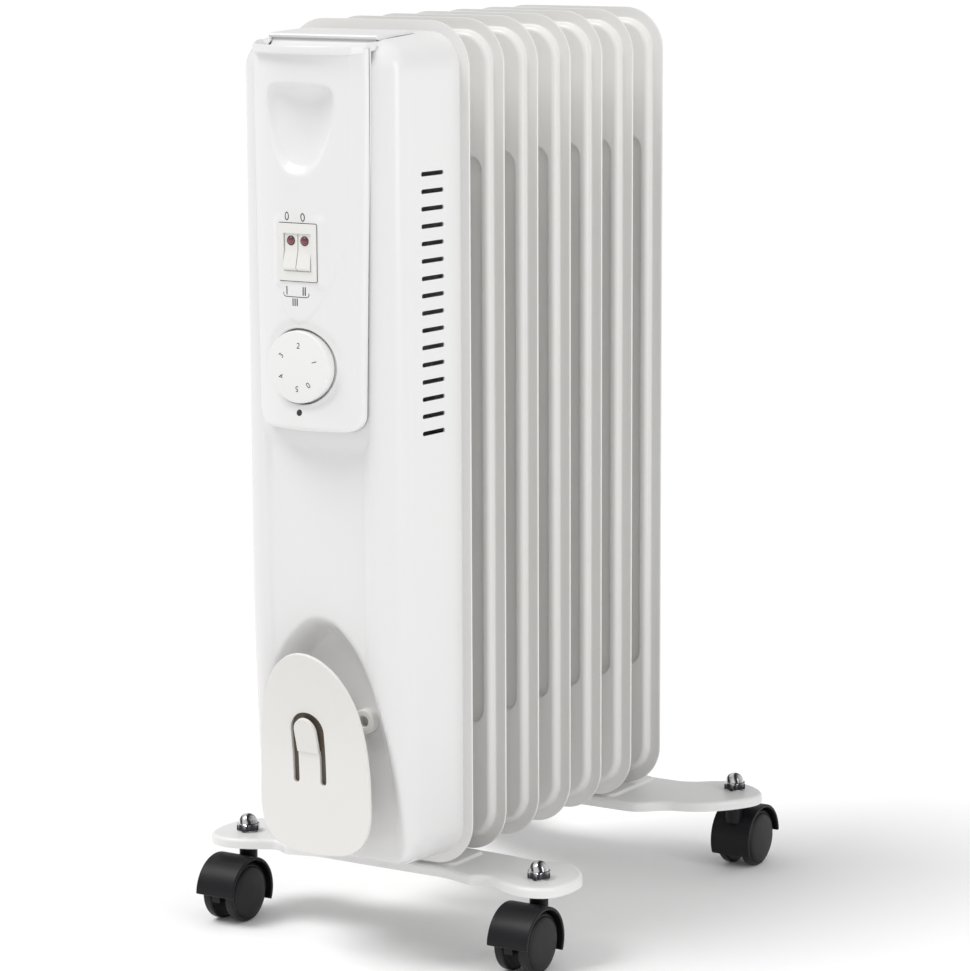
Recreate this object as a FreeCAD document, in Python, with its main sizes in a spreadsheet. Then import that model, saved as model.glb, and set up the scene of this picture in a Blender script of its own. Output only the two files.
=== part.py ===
import FreeCAD, Part
import math
import os
import Sketcher

# Oil filled radiator heater, in millimetres.  X runs across the heater, the control panel faces -Y,
# the fins stand one behind another along +Y, and Z = 0 is the floor that the casters stand on.
# Everything is laid out from the middle plane of the front fin, and each sub-part's Placement then
# moves it along Y so that the origin lies under the middle of the whole heater.

Vec = FreeCAD.Vector
doc = FreeCAD.newDocument("OilRadiator")
sheet = doc.addObject("Spreadsheet::Sheet", "Sizes")
nodes = []


class Size:
    """A length together with the spreadsheet expression that gives it."""

    cells = 0

    def __init__(self, value, text):
        self.value = float(value)
        self.text = text

    def __add__(self, other):
        other = as_size(other)
        return Size(self.value + other.value, f"({self.text} + {other.text})")

    def __radd__(self, other):
        return as_size(other) + self

    def __sub__(self, other):
        other = as_size(other)
        return Size(self.value - other.value, f"({self.text} - {other.text})")

    def __rsub__(self, other):
        return as_size(other) - self

    def __mul__(self, other):
        other = as_size(other)
        return Size(self.value * other.value, f"({self.text} * {other.text})")

    def __rmul__(self, other):
        return as_size(other) * self

    def __truediv__(self, other):
        other = as_size(other)
        return Size(self.value / other.value, f"({self.text} / {other.text})")

    def __neg__(self):
        return Size(-self.value, f"(0 - {self.text})")


def as_size(number):
    return number if isinstance(number, Size) else Size(number, f"{number:.6g}")


def root(square):
    return Size(math.sqrt(square.value), f"sqrt({square.text})")


def slope_angle(rise, run):
    """The angle in degrees of a slope, for a taper."""
    return Size(math.degrees(math.atan2(rise.value, run.value)), f"atan({rise.text} / {run.text})")


def bow_radius(half_chord, rise):
    """Radius of the arc that bows by `rise` over a chord of twice `half_chord`."""
    return (half_chord * half_chord + rise * rise) / (2 * rise)


def size(name, value):
    """Enter one driving dimension in the spreadsheet."""
    Size.cells += 1
    sheet.set(f"A{Size.cells}", name)
    sheet.set(f"B{Size.cells}", str(value))
    sheet.setAlias(f"B{Size.cells}", name)
    return Size(value, f"Sizes.{name}")


# ---------------------------------------------------------------- driving dimensions

# fins
FIN_COUNT = 7
fin_width = size("fin_width", 147)
fin_height = size("fin_height", 580)
fin_corner = size("fin_corner", 31)
fin_lift = size("fin_lift", 63)
fin_pitch = size("fin_pitch", 44)
fin_steel = size("fin_steel", 0.9)
fin_bulge = size("fin_bulge", 6)
rim_width = size("rim_width", 8.5)
bulge_round = size("bulge_round", 4)
slot_inset = size("slot_inset", 14.5)
slot_drop = size("slot_drop", 91)
slot_depth = size("slot_depth", 3.5)
slot_corner = size("slot_corner", 12)
spine_width = size("spine_width", 24)
header_inset = size("header_inset", 50)
collar_radius = size("collar_radius", 20)
element_seat = size("element_seat", 14)

# oil plug and heating element
plug_radius = size("plug_radius", 6)
plug_across = size("plug_across", 17)
plug_head = size("plug_head", 6)
plug_shank = size("plug_shank", 4)
element_rod = size("element_rod", 4)
element_bend = size("element_bend", 9)
element_rise = size("element_rise", 7)
flange_radius = size("flange_radius", 24)
flange_thick = size("flange_thick", 4)
flange_hex = size("flange_hex", 32)
flange_hex_thick = size("flange_hex_thick", 5)
element_pin = size("element_pin", 1.5)
element_pin_length = size("element_pin_length", 14)
gasket_thick = size("gasket_thick", 1.5)
gasket_land = size("gasket_land", 2)

# control cover
cover_inset = size("cover_inset", 7)
cover_depth = size("cover_depth", 77)
cover_steel = size("cover_steel", 1)
cover_draft = size("cover_draft", 4.4)
cover_round = size("cover_round", 20)
knee_height = size("knee_height", 300)
foot_step = size("foot_step", 12)
sunk_half = size("sunk_half", 43)
sunk_depth = size("sunk_depth", 1.5)
well_half = size("well_half", 50)
well_spring = size("well_spring", 160)
well_shoulder_half = size("well_shoulder_half", 31)
well_shoulder = size("well_shoulder", 225)
well_top = size("well_top", 244)
well_depth = size("well_depth", 7)
vent_rear = size("vent_rear", 20)
vent_length = size("vent_length", 25)
vent_width = size("vent_width", 3)
vent_drop = size("vent_drop", 4)
vent_pitch = size("vent_pitch", 11.54)
opening_side = size("opening_side", 6)
opening_foot = size("opening_foot", 10)
opening_head = size("opening_head", 22)
VENT_COUNT = 16

# control panel
panel_foot = size("panel_foot", 43)
panel_drop = size("panel_drop", 6.5)
panel_wide = size("panel_wide", 46)
panel_narrow = size("panel_narrow", 41.5)
taper_drop = size("taper_drop", 39.5)
panel_flank = size("panel_flank", 2.5)
panel_bow = size("panel_bow", 16.5)
panel_wall = size("panel_wall", 2.2)
panel_corner = size("panel_corner", 12)
lip_half = size("lip_half", 38)
lip_corner_out = size("lip_corner_out", 13)
lip_proud = size("lip_proud", 5)
lip_thick = size("lip_thick", 5)
scoop_half = size("scoop_half", 28)
scoop_foot_half = size("scoop_foot_half", 13)
scoop_tall = size("scoop_tall", 53)
scoop_wide_drop = size("scoop_wide_drop", 18)
scoop_drop = size("scoop_drop", 24.5)
scoop_depth = size("scoop_depth", 12)
scoop_corner = size("scoop_corner", 9)
land_margin = size("land_margin", 1)
cap_rear = size("cap_rear", 20)
cap_ridge = size("cap_ridge", 60)
cap_rise = size("cap_rise", 1.3)
cap_thick = size("cap_thick", 2.8)
cap_half = size("cap_half", 43)
cap_chamfer = size("cap_chamfer", 4)
cap_chamfer_drop = size("cap_chamfer_drop", 1)
seat_gap = size("seat_gap", 0.2)

# switches
switch_drop = size("switch_drop", 135.5)
switch_half = size("switch_half", 15)
switch_half_high = size("switch_half_high", 19)
switch_border = size("switch_border", 2.4)
switch_wall = size("switch_wall", 1.4)
bezel_thick = size("bezel_thick", 1.2)
housing_depth = size("housing_depth", 30)
pivot_depth = size("pivot_depth", 7)
rocker_dip = size("rocker_dip", 7)
rocker_swing = size("rocker_swing", 16)
rocker_gap = size("rocker_gap", 0.5)
pin_radius = size("pin_radius", 1.5)
lens_radius = size("lens_radius", 2.4)
lens_rise = size("lens_rise", 7.6)
lens_length = size("lens_length", 3.4)
lens_proud = size("lens_proud", 0.4)
lens_seat = size("lens_seat", 3)
rocker_back = size("rocker_back", 4)
housing_floor = size("housing_floor", 6)

# thermostat
knob_drop = size("knob_drop", 211.5)
knob_radius = size("knob_radius", 25)
knob_proud = size("knob_proud", 3.5)
knob_dome = size("knob_dome", 1.2)
knob_gap = size("knob_gap", 1.2)
dish_depth = size("dish_depth", 7)
shaft_radius = size("shaft_radius", 2.95)
running_gap = size("running_gap", 0.05)
neck_radius = size("neck_radius", 5)
thermostat_half = size("thermostat_half", 15)
thermostat_depth = size("thermostat_depth", 24)
thermostat_wall = size("thermostat_wall", 4)
knob_skin = size("knob_skin", 3)
shaft_end_gap = size("shaft_end_gap", 5)

# parts inside the cover
terminal_drop = size("terminal_drop", 90)
terminal_half = size("terminal_half", 16)
terminal_depth = size("terminal_depth", 16)
terminal_tall = size("terminal_tall", 18)
terminal_pitch = size("terminal_pitch", 10)
terminal_screw = size("terminal_screw", 2.5)
terminal_screw_rise = size("terminal_screw_rise", 2)
cutout_drop = size("cutout_drop", 25)
cutout_radius = size("cutout_radius", 9)
cutout_thick = size("cutout_thick", 8.5)
cutout_tab_half = size("cutout_tab_half", 14)
cutout_tab_thick = size("cutout_tab_thick", 1)
cutout_tab_tall = size("cutout_tab_tall", 10)
lead_radius = size("lead_radius", 1.5)

# cord wrap plate
plate_half = size("plate_half", 44.5)
plate_low = size("plate_low", 82)
plate_foot_corner = size("plate_foot_corner", 21)
plate_shoulder_half = size("plate_shoulder_half", 37.5)
plate_shoulder = size("plate_shoulder", 187)
plate_side_bow = size("plate_side_bow", 3.4)
plate_bend = size("plate_bend", 130)
plate_high = size("plate_high", 224)
plate_lean = size("plate_lean", 16)
plate_proud = size("plate_proud", 7)
plate_thick = size("plate_thick", 2.5)
tongue_centre = size("tongue_centre", -4)
tongue_half = size("tongue_half", 11)
tongue_low = size("tongue_low", 131)
tongue_high = size("tongue_high", 179)
tongue_slot = size("tongue_slot", 4.4)
post_radius = size("post_radius", 8)
post_half_span = size("post_half_span", 20)
post_height = size("post_height", 108)
gland_radius = size("gland_radius", 6)
gland_bore = size("gland_bore", 3.8)
gland_side = size("gland_side", 27)
gland_height = size("gland_height", 174)
gland_neck = size("gland_neck", 5)
gland_flange = size("gland_flange", 2.5)
gland_flange_long = size("gland_flange_long", 7)
screw_radius = size("screw_radius", 2)
screw_length = size("screw_length", 14)
screw_cover = size("screw_cover", 12)
screw_head_thick = size("screw_head_thick", 2)
post_face = size("post_face", 4)

# brackets
bracket_steel = size("bracket_steel", 1.8)
bracket_rim = size("bracket_rim", 7)
bracket_top = size("bracket_top", 61)
bracket_reach = size("bracket_reach", 147)
neck_half = size("neck_half", 78)
lobe_start = size("lobe_start", 98)
lobe_corner = size("lobe_corner", 25)
pad_half = size("pad_half", 58)
front_stem_y = size("front_stem_y", 7.5)
rear_stem_out = size("rear_stem_out", 28)
stem_half_span = size("stem_half_span", 122)
ubolt_rod = size("ubolt_rod", 2.5)
wing_nut_radius = size("wing_nut_radius", 5.5)
wing_nut_tall = size("wing_nut_tall", 6)
wing_half = size("wing_half", 12)
wing_thick = size("wing_thick", 2.4)
bolt_end = size("bolt_end", 3)
pad_margin = size("pad_margin", 4)
pad_corner = size("pad_corner", 8)
front_centre_out = size("front_centre_out", 12)
front_centre_in = size("front_centre_in", 43)
front_lobe_out = size("front_lobe_out", 25)
front_lobe_in = size("front_lobe_in", 46)
rear_centre_out = size("rear_centre_out", 4)
rear_centre_in = size("rear_centre_in", 75)
rear_lobe_out = size("rear_lobe_out", 21)
rear_lobe_in = size("rear_lobe_in", 56)

# casters
wheel_radius = size("wheel_radius", 21.3)
wheel_inner = size("wheel_inner", 6)
wheel_outer = size("wheel_outer", 15.6)
wheel_corner = size("wheel_corner", 2.5)
wheel_crown = size("wheel_crown", 60)
wheel_shoulder = size("wheel_shoulder", 2.4)
wheel_step = size("wheel_step", 4)
hub_skin = size("hub_skin", 1.8)
hood_radius = size("hood_radius", 25.5)
hood_wall = size("hood_wall", 2.4)
hood_half = size("hood_half", 16)
hood_rise = size("hood_rise", 1.3)
hood_tail = size("hood_tail", 10)
web_drop = size("web_drop", 4)
web_half = size("web_half", 3.4)
axle_radius = size("axle_radius", 3)
caster_trail = size("caster_trail", 17.5)
boss_radius = size("boss_radius", 6.5)
boss_top = size("boss_top", 50)
boss_bottom = size("boss_bottom", 35)
stem_radius = size("stem_radius", 3.5)
stem_foot = size("stem_foot", 36.5)
stem_shoulder = size("stem_shoulder", 5)
shoulder_thick = size("shoulder_thick", 2)
stem_top_gap = size("stem_top_gap", 3.4)
axle_recess = size("axle_recess", 2)
socket_floor = size("socket_floor", 1)
nut_across = size("nut_across", 15.5)
nut_tall = size("nut_tall", 6)
nut_dome = size("nut_dome", 6.7)
nut_roof = size("nut_roof", 2.9)

clear_cut = size("clear_cut", 10)

# places that follow from those sizes
row_depth = fin_pitch * (FIN_COUNT - 1)
header_low = fin_lift + header_inset
header_high = fin_lift + fin_height - header_inset
cover_half = fin_width / 2 - cover_inset
cover_low = fin_lift + cover_inset
cover_high = fin_lift + fin_height - cover_inset
panel_side = cover_depth + panel_flank
panel_front = panel_side + panel_bow
lip_corner = cover_depth + lip_corner_out
lip_front = panel_front + lip_proud
scoop_floor = panel_front - scoop_depth
dish_floor = panel_front - dish_depth
knob_front = panel_front + knob_proud
switch_land = panel_front
rocker_pivot = switch_land - pivot_depth
switch_rear = switch_land - housing_depth
foot_depth = cover_depth - foot_step
well_floor = foot_depth - well_depth
plate_front = cover_depth + plate_proud
panel_high = cover_high - panel_drop
panel_taper_top = panel_high - taper_drop
scoop_high = panel_high - scoop_drop
scoop_wide_at = scoop_high - scoop_wide_drop
scoop_low = scoop_high - scoop_tall
cap_top = cover_high + cap_rise
switch_height = panel_high - switch_drop
knob_height = panel_high - knob_drop
panel_low = knob_height - panel_foot
vent_low = panel_low - vent_drop
cutout_height = panel_low - cutout_drop
terminal_height = panel_low - terminal_drop
rear_stem_y = row_depth + rear_stem_out
front_reach = lip_front
rear_reach = rear_stem_y + caster_trail + hood_radius
row_shift = (front_reach - rear_reach) / 2

# ---------------------------------------------------------------- building helpers


def origin_plane(body, role):
    return [item for item in body.Origin.OriginFeatures if item.Role == role][0]


def new_body(name):
    body = doc.addObject("PartDesign::Body", name)
    body.Label = name
    return body


def new_sketch(body, role, offset=0.0, shift_y=0.0):
    """A sketch on one of the body's own planes, `offset` out along the plane's normal."""
    sketch = body.newObject("Sketcher::SketchObject", body.Name + "_sketch")
    sketch.AttachmentSupport = [(origin_plane(body, role), "")]
    sketch.MapMode = "FlatFace"
    offset = as_size(offset)
    shift_y = as_size(shift_y)
    sketch.AttachmentOffset = FreeCAD.Placement(Vec(0, shift_y.value, offset.value), FreeCAD.Rotation())
    sketch.setExpression("AttachmentOffset.Base.z", offset.text)
    if shift_y.value:
        sketch.setExpression("AttachmentOffset.Base.y", shift_y.text)
    return sketch


def bind_point(sketch, edge, end, across, up):
    """Hold one end of a sketch edge at two bound coordinates."""
    for axis, kind, place in ((-2, "DistanceX", as_size(across)), (-1, "DistanceY", as_size(up))):
        if place.value == 0:
            sketch.addConstraint(Sketcher.Constraint("PointOnObject", edge, end, axis))
            continue
        if place.value > 0:
            rule = Sketcher.Constraint(kind, -1, 1, edge, end, place.value)
        else:
            place = -place
            rule = Sketcher.Constraint(kind, edge, end, -1, 1, place.value)
        index = sketch.addConstraint(rule)
        name = f"size_{index}"
        sketch.renameConstraint(index, name)
        sketch.setExpression("Constraints." + name, place.text)


def outline(sketch, corners):
    """A closed outline.  A corner is (across, up), or (across, up, radius) where an arc leads on to the
    next corner, turning left for a positive radius and right for a negative one."""
    first = sketch.GeometryCount
    count = len(corners)
    starts = []
    for index, corner in enumerate(corners):
        here = Vec(as_size(corner[0]).value, as_size(corner[1]).value, 0)
        after = corners[(index + 1) % count]
        there = Vec(as_size(after[0]).value, as_size(after[1]).value, 0)
        if len(corner) == 2:
            sketch.addGeometry(Part.LineSegment(here, there), False)
            starts.append((1, 2))
            continue
        radius = as_size(corner[2])
        chord = there - here
        rise = math.sqrt(max(0.0, radius.value ** 2 - (chord.Length / 2) ** 2))
        left = Vec(-chord.y, chord.x, 0).normalize()
        turn = 1 if radius.value > 0 else -1
        centre = (here + there) * 0.5 + left * (rise * turn)
        begin, finish = (here, there) if turn > 0 else (there, here)
        start_angle = math.atan2(begin.y - centre.y, begin.x - centre.x)
        end_angle = math.atan2(finish.y - centre.y, finish.x - centre.x)
        circle = Part.Circle(centre, Vec(0, 0, 1), abs(radius.value))
        sketch.addGeometry(Part.ArcOfCircle(circle, start_angle, end_angle), False)
        starts.append((1, 2) if turn > 0 else (2, 1))
    for index, corner in enumerate(corners):
        edge = first + index
        following = first + (index + 1) % count
        sketch.addConstraint(Sketcher.Constraint("Coincident", edge, starts[index][1],
                                                 following, starts[(index + 1) % count][0]))
        bind_point(sketch, edge, starts[index][0], corner[0], corner[1])
        if len(corner) == 3:
            radius = as_size(corner[2])
            if radius.value < 0:
                radius = -radius
            name = f"radius_{edge}"
            number = sketch.addConstraint(Sketcher.Constraint("Radius", edge, radius.value))
            sketch.renameConstraint(number, name)
            sketch.setExpression("Constraints." + name, radius.text)


def rounded_box(sketch, left, right, low, high, corner):
    outline(sketch, [(left + corner, low), (right - corner, low, corner),
                     (right, low + corner), (right, high - corner, corner),
                     (right - corner, high), (left + corner, high, corner),
                     (left, high - corner), (left, low + corner, corner)])


def box_outline(sketch, left, right, low, high):
    outline(sketch, [(left, low), (right, low), (right, high), (left, high)])


def ring(sketch, across, up, radius):
    """A circle about a bound centre."""
    across, up, radius = as_size(across), as_size(up), as_size(radius)
    edge = sketch.addGeometry(Part.Circle(Vec(across.value, up.value, 0), Vec(0, 0, 1), radius.value), False)
    bind_point(sketch, edge, 3, across, up)
    name = f"radius_{edge}"
    number = sketch.addConstraint(Sketcher.Constraint("Radius", edge, radius.value))
    sketch.renameConstraint(number, name)
    sketch.setExpression("Constraints." + name, radius.text)


def pad(body, sketch, length, both=False, backwards=False, taper=None):
    feature = body.newObject("PartDesign::Pad", body.Name + "_pad")
    feature.Profile = sketch
    feature.Length = length.value
    feature.setExpression("Length", length.text)
    if both:
        feature.SideType = "Symmetric"
    feature.Reversed = backwards
    if taper is not None:
        feature.setExpression("TaperAngle", taper.text)
    body.Tip = feature
    return feature


def pocket(body, sketch, length, both=False, backwards=False):
    """Cut a sketch out of the body, and make sure that something was cut."""
    doc.recompute()
    before = body.Shape.Volume
    feature = body.newObject("PartDesign::Pocket", body.Name + "_pocket")
    feature.Profile = sketch
    feature.Length = length.value
    feature.setExpression("Length", length.text)
    if both:
        feature.SideType = "Symmetric"
    feature.Reversed = backwards
    body.Tip = feature
    doc.recompute()
    if not body.Shape.Volume < before:
        raise RuntimeError(feature.Name + " cuts nothing")
    return feature


def round_edges(body, radius, chosen):
    """Fillet the edges of the body's last feature that `chosen` picks."""
    doc.recompute()
    base = body.Tip
    names = [f"Edge{number + 1}" for number, edge in enumerate(base.Shape.Edges) if chosen(edge)]
    feature = body.newObject("PartDesign::Fillet", body.Name + "_fillet")
    feature.Base = (base, names)
    feature.Radius = radius.value
    feature.setExpression("Radius", radius.text)
    body.Tip = feature
    return feature


def revolve(body, sketch):
    feature = body.newObject("PartDesign::Revolution", body.Name + "_turn")
    feature.Profile = sketch
    feature.ReferenceAxis = (sketch, ["H_Axis"])
    feature.Angle = 360
    body.Tip = feature
    return feature


def place(item, x, y, z):
    """Bind an object's position."""
    for axis, value in (("x", x), ("y", y), ("z", z)):
        item.setExpression("Placement.Base." + axis, as_size(value).text)


ALONG = {"x": FreeCAD.Rotation(Vec(0, 1, 0), 90), "y": FreeCAD.Rotation(Vec(1, 0, 0), -90),
         "z": FreeCAD.Rotation()}


def rod(name, radius, length, x, y, z, axis="z"):
    """A cylinder that starts at (x, y, z) and runs along +axis."""
    item = doc.addObject("Part::Cylinder", name)
    item.Label = name
    item.setExpression("Radius", as_size(radius).text)
    item.setExpression("Height", as_size(length).text)
    item.Placement = FreeCAD.Placement(Vec(), ALONG[axis])
    place(item, x, y, z)
    return item


def block(name, x, y, z, wide, deep, high):
    item = doc.addObject("Part::Box", name)
    item.Label = name
    item.setExpression("Length", as_size(wide).text)
    item.setExpression("Width", as_size(deep).text)
    item.setExpression("Height", as_size(high).text)
    place(item, x, y, z)
    return item


def hexagon(name, across_flats, length, x, y, z, axis="z"):
    item = doc.addObject("Part::Prism", name)
    item.Label = name
    item.Polygon = 6
    item.setExpression("Circumradius", (as_size(across_flats) / math.sqrt(3)).text)
    item.setExpression("Height", as_size(length).text)
    item.Placement = FreeCAD.Placement(Vec(), ALONG[axis])
    place(item, x, y, z)
    return item


def half_ring(name, radius, rod_radius, x, y, z, turn):
    """Half of a torus, with its own plane set by the rotation `turn`."""
    item = doc.addObject("Part::Torus", name)
    item.Label = name
    item.setExpression("Radius1", as_size(radius).text)
    item.setExpression("Radius2", as_size(rod_radius).text)
    item.Angle3 = 180
    item.Placement = FreeCAD.Placement(Vec(), turn)
    place(item, x, y, z)
    return item


def fuse(name, items):
    item = doc.addObject("Part::MultiFuse", name)
    item.Label = name
    item.Shapes = items
    return item


def cut(name, base, tool):
    item = doc.addObject("Part::Cut", name)
    item.Label = name
    item.Base = base
    item.Tool = tool
    return item


def group(name, items):
    """Several separate solids in one node."""
    item = doc.addObject("Part::Compound", name)
    item.Label = name
    item.Links = items
    return item


def keep(item, name):
    """Name a finished sub-part and move it with the whole row."""
    item.Label = name
    bound = dict((path.lstrip("."), text) for path, text in item.ExpressionEngine)
    along = bound.get("Placement.Base.y")
    item.setExpression("Placement.Base.y", f"{along} + {row_shift.text}" if along else row_shift.text)
    nodes.append((name, item))
    return item


# ---------------------------------------------------------------- fins


def fin_form(name, skin, front_length, rear_length, front_top):
    """A fin's closed form, `skin` inside its outer face: raised face, two long sunk slots, collars."""
    body = new_body(name)
    edge = fin_width / 2 - rim_width - skin
    low = fin_lift + rim_width + skin
    high = fin_lift + fin_height - rim_width - skin
    half = fin_bulge - skin
    sketch = new_sketch(body, "XZ_Plane")
    rounded_box(sketch, -edge, edge, low, high, fin_corner - rim_width - skin)
    pad(body, sketch, half * 2, both=True)
    round_edges(body, bulge_round - skin, lambda line: line.BoundBox.YLength < 0.01)
    slot_out = fin_width / 2 - slot_inset + skin
    slot_in = spine_width / 2 - skin
    slot_low = fin_lift + slot_drop - skin
    slot_high = fin_lift + fin_height - slot_drop + skin
    corner = slot_corner + skin
    for side in (1, -1):
        sketch = new_sketch(body, "XZ_Plane", half * side)
        rounded_box(sketch, slot_in, slot_out, slot_low, slot_high, corner)
        rounded_box(sketch, -slot_out, -slot_in, slot_low, slot_high, corner)
        pocket(body, sketch, slot_depth, backwards=side < 0)
    for length, front in ((front_length, True), (rear_length, False)):
        if length is None:
            continue
        sketch = new_sketch(body, "XZ_Plane")
        ring(sketch, 0, header_low, collar_radius - skin)
        if front_top or not front:
            ring(sketch, 0, header_high, collar_radius - skin)
        pad(body, sketch, length, backwards=not front)
    return body


def fin(index):
    """One fin: two pressed sheets welded at the rim, with round collars that meet the next fin's."""
    name = f"fin_{index + 1}"
    first = index == 0
    last = index == FIN_COUNT - 1
    front_length = element_seat if first else fin_pitch / 2
    rear_length = None if last else fin_pitch / 2
    outside = fin_form(name + "_outside", as_size(0), front_length, rear_length, not first)
    sketch = new_sketch(outside, "XZ_Plane")
    rounded_box(sketch, -fin_width / 2, fin_width / 2, fin_lift, fin_lift + fin_height, fin_corner)
    pad(outside, sketch, fin_steel * 2, both=True)
    inside = fin_form(name + "_inside", fin_steel, front_length, rear_length, not first)
    if first:
        sketch = new_sketch(inside, "XZ_Plane")
        ring(sketch, 0, header_high, plug_radius)
        pad(inside, sketch, fin_bulge)
    shell = cut(name, outside, inside)
    place(shell, 0, fin_pitch * index, 0)
    keep(shell, name)


def fin_row():
    for index in range(FIN_COUNT):
        fin(index)


def oil_plug():
    """Hexagon plug that closes the filling hole in the front fin."""
    head = hexagon("plug_head", plug_across, plug_head, 0, -fin_bulge - plug_head, header_high, "y")
    shank = rod("plug_shank", plug_radius - running_gap, plug_shank, 0, -fin_bulge, header_high, "y")
    keep(fuse("oil_fill_plug", [head, shank]), "oil_fill_plug")


def heating_element():
    """Two hairpin heater tubes on a round flange, in the lower header through all the fins."""
    flange_y = -element_seat - gasket_thick - flange_thick
    length = row_depth - element_bend - flange_y
    parts = [rod("element_flange", flange_radius, flange_thick, 0, flange_y, header_low, "y"),
             hexagon("element_hexagon", flange_hex, flange_hex_thick, 0, flange_y - flange_hex_thick,
                     header_low, "y")]
    flat = FreeCAD.Rotation()
    for number, rise in enumerate((-element_rise, element_rise)):
        for side in (-1, 1):
            parts.append(rod(f"element_leg_{number}_{side + 1}", element_rod, length,
                             element_bend * side, flange_y, header_low + rise, "y"))
        parts.append(half_ring(f"element_bend_{number}", element_bend, element_rod,
                               0, flange_y + length, header_low + rise, flat))
        parts.append(rod(f"element_pin_{number}", element_pin, element_pin_length,
                         element_bend * (2 * number - 1), flange_y - element_pin_length, header_low + rise, "y"))
    keep(fuse("heating_element", parts), "heating_element")
    washer = rod("gasket_disc", flange_radius, gasket_thick, 0, -element_seat - gasket_thick, header_low, "y")
    hole = rod("gasket_hole", collar_radius - gasket_land, gasket_thick, 0, -element_seat - gasket_thick,
               header_low, "y")
    keep(cut("element_gasket", washer, hole), "element_gasket")


# ---------------------------------------------------------------- control cover


def cover_form(name, skin):
    """The cover's closed form, `skin` inside its outer face."""
    body = new_body(name)
    depth = cover_depth - skin
    taper = slope_angle(-cover_draft, cover_depth - fin_steel)
    sketch = new_sketch(body, "XZ_Plane", fin_steel)
    rounded_box(sketch, -cover_half + skin, cover_half - skin, cover_low + skin, cover_high - skin,
                fin_corner - cover_inset - skin)
    pad(body, sketch, depth - fin_steel, taper=taper)
    sketch = new_sketch(body, "YZ_Plane")
    foot = foot_depth - skin
    outline(sketch, [(-depth, knee_height), (-depth - clear_cut, knee_height), (-depth - clear_cut, fin_lift),
                     (-foot, fin_lift, -bow_radius(knee_height - fin_lift, cover_depth - foot_depth))])
    pocket(body, sketch, fin_width * 2, both=True)

    def front_edge(line):
        box = line.BoundBox
        crease = box.ZLength < 0.01 and abs(box.ZMin - knee_height.value) < 0.01
        return box.YMax < -foot.value + cover_draft.value * 0.5 and not crease

    round_edges(body, cover_round - skin, front_edge)
    ahead = depth + clear_cut
    sketch = new_sketch(body, "XZ_Plane", ahead)
    box_outline(sketch, -sunk_half - skin, sunk_half + skin, fin_lift, panel_low + clear_cut)
    pocket(body, sketch, sunk_depth + clear_cut)
    sketch = new_sketch(body, "XZ_Plane", ahead)
    half = well_half + skin
    shoulder_half = well_shoulder_half + skin
    top_rise = well_top + skin - well_shoulder
    outline(sketch, [(half, fin_lift), (half, well_spring, bow_radius(well_half, well_half * 0.8)),
                     (shoulder_half, well_shoulder, bow_radius(shoulder_half, top_rise)),
                     (-shoulder_half, well_shoulder, bow_radius(well_half, well_half * 0.8)),
                     (-half, well_spring), (-half, fin_lift)])
    pocket(body, sketch, ahead - well_floor + skin)
    return body


def control_cover():
    """Pressed steel box in front of the first fin, open at the back."""
    outside = cover_form("cover_outside", as_size(0))
    sketch = new_sketch(outside, "XZ_Plane", cover_depth + clear_cut)
    box_outline(sketch, -panel_narrow + opening_side, panel_narrow - opening_side,
                panel_low + opening_foot, panel_high - opening_head)
    ring(sketch, gland_side, gland_height, gland_radius)
    for side in (-1, 1):
        ring(sketch, post_half_span * side, post_height, screw_radius + seat_gap)
    pocket(outside, sketch, cover_depth + clear_cut - well_floor + cover_steel * 4)
    sketch = new_sketch(outside, "YZ_Plane")
    rounded_box(sketch, -vent_rear - vent_length, -vent_rear, vent_low - vent_width / 2,
                vent_low + vent_width / 2, vent_width * 0.45)
    slot = pocket(outside, sketch, fin_width * 2, both=True)
    row = outside.newObject("PartDesign::LinearPattern", "cover_vents")
    row.Originals = [slot]
    row.Direction = (sketch, ["V_Axis"])
    row.Occurrences = VENT_COUNT
    row.setExpression("Length", (vent_pitch * (VENT_COUNT - 1)).text)
    outside.Tip = row
    inside = cover_form("cover_inside", cover_steel)
    keep(cut("control_cover", outside, inside), "control_cover")


# ---------------------------------------------------------------- control panel


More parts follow.
